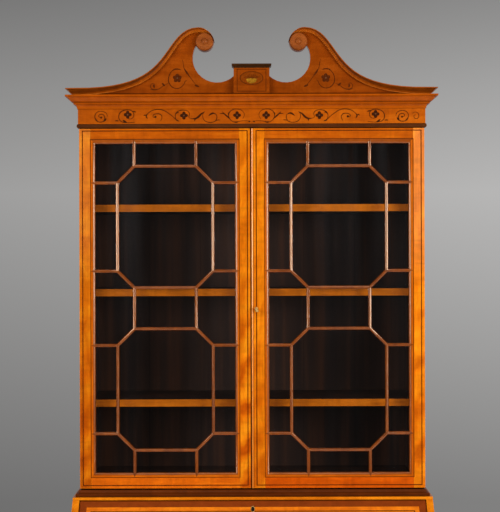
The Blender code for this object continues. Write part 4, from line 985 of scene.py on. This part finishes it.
def inlay_pedestal():
    """A string frame and an oval with a shaded cup."""
    lo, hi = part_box("pedestal_block")
    place = upright(PEDESTAL_FACE)
    raised = lifted(place, PROUD)
    inset = PEDESTAL_STRING_INSET
    strings = bmesh.new()
    frame_band(strings, place, (lo.x + inset, lo.z + inset), (hi.x - inset, hi.z - inset / 3),
               PEDESTAL_STRING)
    new_piece("pedestal_strings", strings, "carcass", "mahogany", MATERIALS["string"])
    centre = (0.0, PEDIMENT_FOOT + PATERA_RISE)
    line = ellipse(centre, PATERA_WIDTH / 2, PATERA_HEIGHT / 2, steps=40)
    ground = bmesh.new()
    patch(ground, place, line)
    new_piece("pedestal_oval", ground, "carcass", "satinwood", MATERIALS["oval"])
    rim = bmesh.new()
    ribbon(rim, raised, line + line[:1], [PATERA_RIM] * (len(line) + 1))
    lip = (centre[0], centre[1] - CUP_DROP)
    across = RAY_REACH[0] * PATERA_WIDTH
    up = RAY_REACH[1] * PATERA_HEIGHT
    for tip in ellipse(lip, across, up, RAY_START, RAY_SWEEP, RAY_COUNT - 1):
        ribbon(rim, raised, [lip, tip], RAY_WIDTHS)
    new_piece("pedestal_oval_lines", rim, "carcass", "mahogany", MATERIALS["faint_inlay"])
    cup = bmesh.new()
    outline = ellipse(lip, CUP_WIDTH / 2, CUP_HEIGHT, math.pi, math.pi, 18)
    outline += ellipse(lip, CUP_WIDTH / 2, CUP_LIP, 0.0, math.pi, 12)[1:-1]
    patch(cup, place, outline, proud=3 * PROUD)
    new_piece("pedestal_cup", cup, "carcass", "satinwood", MATERIALS["shell"])


def string_doors():
    """A dark string round the face of each door, and lines of painted shade round its glass and along
    the closing edge.
    """
    place = upright(DOOR_FACE)
    lo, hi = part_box("door_left_hinge_stile")
    outer = abs(lo.x)
    inset = DOOR_STRING_INSET
    foot = lo.z + DOOR_STRING_FOOT
    head = hi.z - DOOR_STRING_HEAD
    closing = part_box("door_left_meeting_stile")[1].x
    limits = {"left": (-outer + inset, closing - inset), "right": (MEETING_STRING, outer - inset)}
    for side, (u0, u1) in limits.items():
        bm = bmesh.new()
        frame_band(bm, place, (u0, foot), (u1, head), STRING)
        pane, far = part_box(f"door_{side}_glazing_bars")
        # A dark line round the glass: painted shade of a quirk
        frame_band(bm, place, (pane.x - QUIRK_SHADE, pane.z - QUIRK_SHADE), (far.x + QUIRK_SHADE, far.z + QUIRK_SHADE), QUIRK_SHADE)
        # A dark line at the closing edge: painted shadow of the gap beside the meeting bead
        if side == "left":
            u = closing - CLOSING_SHADOW / 2
            ribbon(bm, place, [(u, lo.z), (u, hi.z)], [CLOSING_SHADOW] * 2)
        new_piece(f"door_{side}_string", bm, f"door_{side}", "mahogany", MATERIALS["string"])


def band_face(name, body, place, low, high, cross, light):
    """A crossbanded border with a plain band and a dark string inside it."""
    borders = bmesh.new()
    frame_band(borders, place, low, high, cross, (0, 1))
    new_piece(f"{name}_crossband", borders, body, "mahogany",
              MATERIALS["cross_z"], MATERIALS["cross_x"])
    inset = cross + light
    strings = bmesh.new()
    frame_band(strings, place, (low[0] + inset, low[1] + inset),
               (high[0] - inset, high[1] - inset), STRING)
    new_piece(f"{name}_string", strings, body, "mahogany", MATERIALS["string"])


def fall_reach():
    """Length of the fall's outer face up the slope, and half its width."""
    lo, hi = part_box("fall_front")
    sine = math.sin(FALL_SLOPE)
    cosine = math.cos(FALL_SLOPE)
    corner = hi.z + FALL_ROUND * (sine + cosine - 1)
    return (corner - HINGE_LINE.z - FALL_THICK * cosine) / sine, hi.x


def dress_fall():
    """Banding outside; tooled leather with gilt lines inside."""
    top, half = fall_reach()
    foot = FALL_THICK * math.tan(FALL_SLOPE)
    edge = FALL_ROUND
    band_face("fall", "fall", outside_fall, (-half + edge, foot), (half - edge, top - edge),
              CROSSBAND, LIGHT_BAND)
    margin = LEATHER_MARGIN
    pad = bmesh.new()
    low = (-half + margin, margin)
    high = (half - margin, top - margin)
    patch(pad, inside_fall, [low, (high[0], low[1]), high, (low[0], high[1])])
    new_piece("fall_leather", pad, "fall", None, MATERIALS["leather"])
    lines = bmesh.new()
    for inset, width in GILT_LINES:
        frame_band(lines, lifted(inside_fall, PROUD), (low[0] + inset, low[1] + inset),
                   (high[0] - inset, high[1] - inset), width)
    new_piece("fall_gilt_lines", lines, "fall", "brass", MATERIALS["gilt"])


def turned(bm, centre, profile, count):
    """Turn a profile of (radius, distance towards -Y) points about an upright face's normal."""
    rings = []
    for radius, out in profile:
        ring = ellipse((centre[0], centre[2]), radius, radius, steps=count)
        rings.append([(x, centre[1] - out, z) for x, z in ring])
    loft(bm, rings)


def dress_drawers():
    """Banding, knob plates and an escutcheon on each drawer."""
    place = upright(FRONT)
    edge = COCKBEAD + COCKBEAD_GAP
    profile = [(KNOB_PLATE * share, out) for share, out in KNOB_PLATE_PROFILE]
    for level in ("top", "middle", "bottom"):
        name = f"drawer_{level}"
        body = f"{name}_slide"
        lo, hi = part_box(name)
        band_face(name, body, place, (lo.x + edge, lo.z + edge), (hi.x - edge, hi.z - edge),
                  DRAWER_CROSSBAND, DRAWER_LIGHT_BAND)
        middle = (lo.z + hi.z) / 2
        plates = bmesh.new()
        for sign in SIDES.values():
            turned(plates, (sign * (HALF_BUREAU - KNOB_INSET), FRONT, middle), profile, 32)
        new_piece(f"{name}_knob_plates", plates, body, "brass", MATERIALS["brass"], smooth=True)
        keyhole = (0.0, middle + DRAWER_KEYHOLE_RISE * (hi.z - lo.z))
        escutcheon(f"{name}_escutcheon", body, place, keyhole)


def escutcheon(name, body, place, centre):
    """A thread escutcheon: a raised brass rim round a keyhole, which is a flat near-black patch:
    painted shade for the hole.
    """
    across = ESCUTCHEON_WIDTH / 2
    up = ESCUTCHEON_HEIGHT / 2
    rings = []
    for share, out in ESCUTCHEON_PROFILE:
        ring = ellipse(centre, across * share, up * share, steps=28)
        rings.append([place(u, v, out) for u, v in ring])
    rim = bmesh.new()
    loft(rim, rings, capped=False)
    new_piece(name, rim, body, "brass", MATERIALS["brass"], smooth=True)
    # The keyhole: a flat near-black patch, painted shade for the hole
    hole = bmesh.new()
    patch(hole, place, ellipse(centre, across * KEYHOLE_SHARE, up * KEYHOLE_SHARE, steps=28))
    new_piece(f"{name}_hole", hole, body, "mahogany", MATERIALS["keyhole"])


def key_plate():
    """An oval brass plate round the key of the right door."""
    place = upright(DOOR_FACE)
    centre = (KEY_PLACE.x, KEY_PLACE.z)
    across = KEY_PLATE_WIDTH / 2
    up = KEY_PLATE_HEIGHT / 2
    bore = KEY_BORE
    rings = []
    for a, b, out in ((across, up, -SUNK), (across, up, 0.0006), (across * 0.9, up * 0.94, 0.0011),
                      (bore * 1.15, bore * 1.15, 0.0011), (bore, bore, 0.0008), (bore, bore, -SUNK)):
        rings.append([place(u, v, out) for u, v in ellipse(centre, a, b, steps=32)])
    plate = bmesh.new()
    loft(plate, rings, capped=False)
    new_piece("door_key_plate", plate, "door_right", "brass", MATERIALS["brass"], smooth=True)


# Stage, light and camera

def build_floor():
    bm = bmesh.new()
    rings = []
    for radius in FLOOR_RINGS:
        rings.append([(x, y, 0.0) for x, y in ellipse((0, 0), radius, radius, steps=FLOOR_STEPS)])
    loft(bm, rings, capped=False)
    bm.verts.ensure_lookup_table()
    bm.faces.new(bm.verts[:FLOOR_STEPS])
    bmesh.ops.recalc_face_normals(bm, faces=bm.faces)
    mesh = bpy.data.meshes.new("studio_floor")
    bm.to_mesh(mesh)
    bm.free()
    floor = bpy.data.objects.new("studio_floor", mesh)
    bpy.context.scene.collection.objects.link(floor)
    mesh.materials.append(floor_material())


def build_world():
    """A plain grey studio, brightest at eye level behind the object and dark behind the camera."""
    world = bpy.data.worlds.new("studio")
    bpy.context.scene.world = world
    world.use_nodes = True
    tree = world.node_tree
    axes = tree.nodes.new("ShaderNodeSeparateXYZ")
    tree.links.new(tree.nodes.new("ShaderNodeTexCoord").outputs["Generated"], axes.inputs[0])

    def span(axis, low, high, to_low=0.0, to_high=1.0, curve="SMOOTHSTEP"):
        node = tree.nodes.new("ShaderNodeMapRange")
        node.interpolation_type = curve
        for socket, number in zip(node.inputs[1:5], (low, high, to_low, to_high)):
            socket.default_value = number
        tree.links.new(axes.outputs[axis], node.inputs["Value"])
        return node.outputs["Result"]

    shade = tree.nodes.new("ShaderNodeValToRGB")
    elements = shade.color_ramp.elements
    while len(elements) < len(WORLD_GREYS):
        elements.new(0.5)
    for element, (position, value) in zip(elements, WORLD_GREYS):
        element.position = position
        element.color = (*(value * c for c in WORLD_TINT), 1)
    tree.links.new(span("Z", *WORLD_HEIGHTS, curve="LINEAR"), shade.inputs["Fac"])
    colour = shade.outputs["Color"]
    for share in (span("X", *WORLD_ACROSS), span("Y", *WORLD_DEPTH)):
        product = tree.nodes.new("ShaderNodeMix")
        product.data_type = "RGBA"
        product.blend_type = "MULTIPLY"
        product.inputs[0].default_value = 1.0
        tree.links.new(colour, product.inputs[6])
        tree.links.new(share, product.inputs[7])
        colour = product.outputs[2]
    tree.links.new(colour, tree.nodes["Background"].inputs["Color"])


def soft_box(name, place, aim, size, power):
    lamp = bpy.data.lights.new(name, "AREA")
    lamp.shape = "RECTANGLE"
    lamp.size, lamp.size_y = size
    lamp.energy = power
    box = bpy.data.objects.new(name, lamp)
    box.location = place
    box.rotation_euler = (aim - place).to_track_quat("-Z", "Y").to_euler()
    bpy.context.scene.collection.objects.link(box)


def build_lamps():
    """A soft box above the camera and a tall one on each side."""
    soft_box("key_light", KEY_LAMP, KEY_AIM, KEY_SIZE, KEY_POWER)
    for side, sign in SIDES.items():
        place = Vector((sign * FILL_LAMP.x, FILL_LAMP.y, FILL_LAMP.z))
        soft_box(f"fill_light_{side}", place, FILL_AIM, FILL_SIZE, FILL_POWERS[side])


def build_camera():
    camera = bpy.data.cameras.new("camera")
    camera.sensor_width = SENSOR
    camera.lens = LENS
    view = bpy.data.objects.new("camera", camera)
    view.location = (CAMERA_X, DOOR_FACE - CAMERA_DISTANCE, CAMERA_HEIGHT)
    level = Matrix.Rotation(math.pi / 2, 3, "X")
    view.rotation_euler = (level @ Matrix.Rotation(CAMERA_ROLL, 3, "Z")).to_euler()
    bpy.context.scene.collection.objects.link(view)
    bpy.context.scene.camera = view


dress_nodes()
paint_insides()
paint_pane_borders()
paint_fall_and_knobs()
inlay_frieze()
inlay_tympanum()
inlay_pedestal()
string_doors()
dress_fall()
dress_drawers()
escutcheon("fall_escutcheon", "fall", outside_fall, (0.0, fall_reach()[0] - FALL_KEYHOLE))
key_plate()
build_floor()
build_world()
build_lamps()
build_camera()
bpy.context.scene.view_settings.view_transform = "Standard"
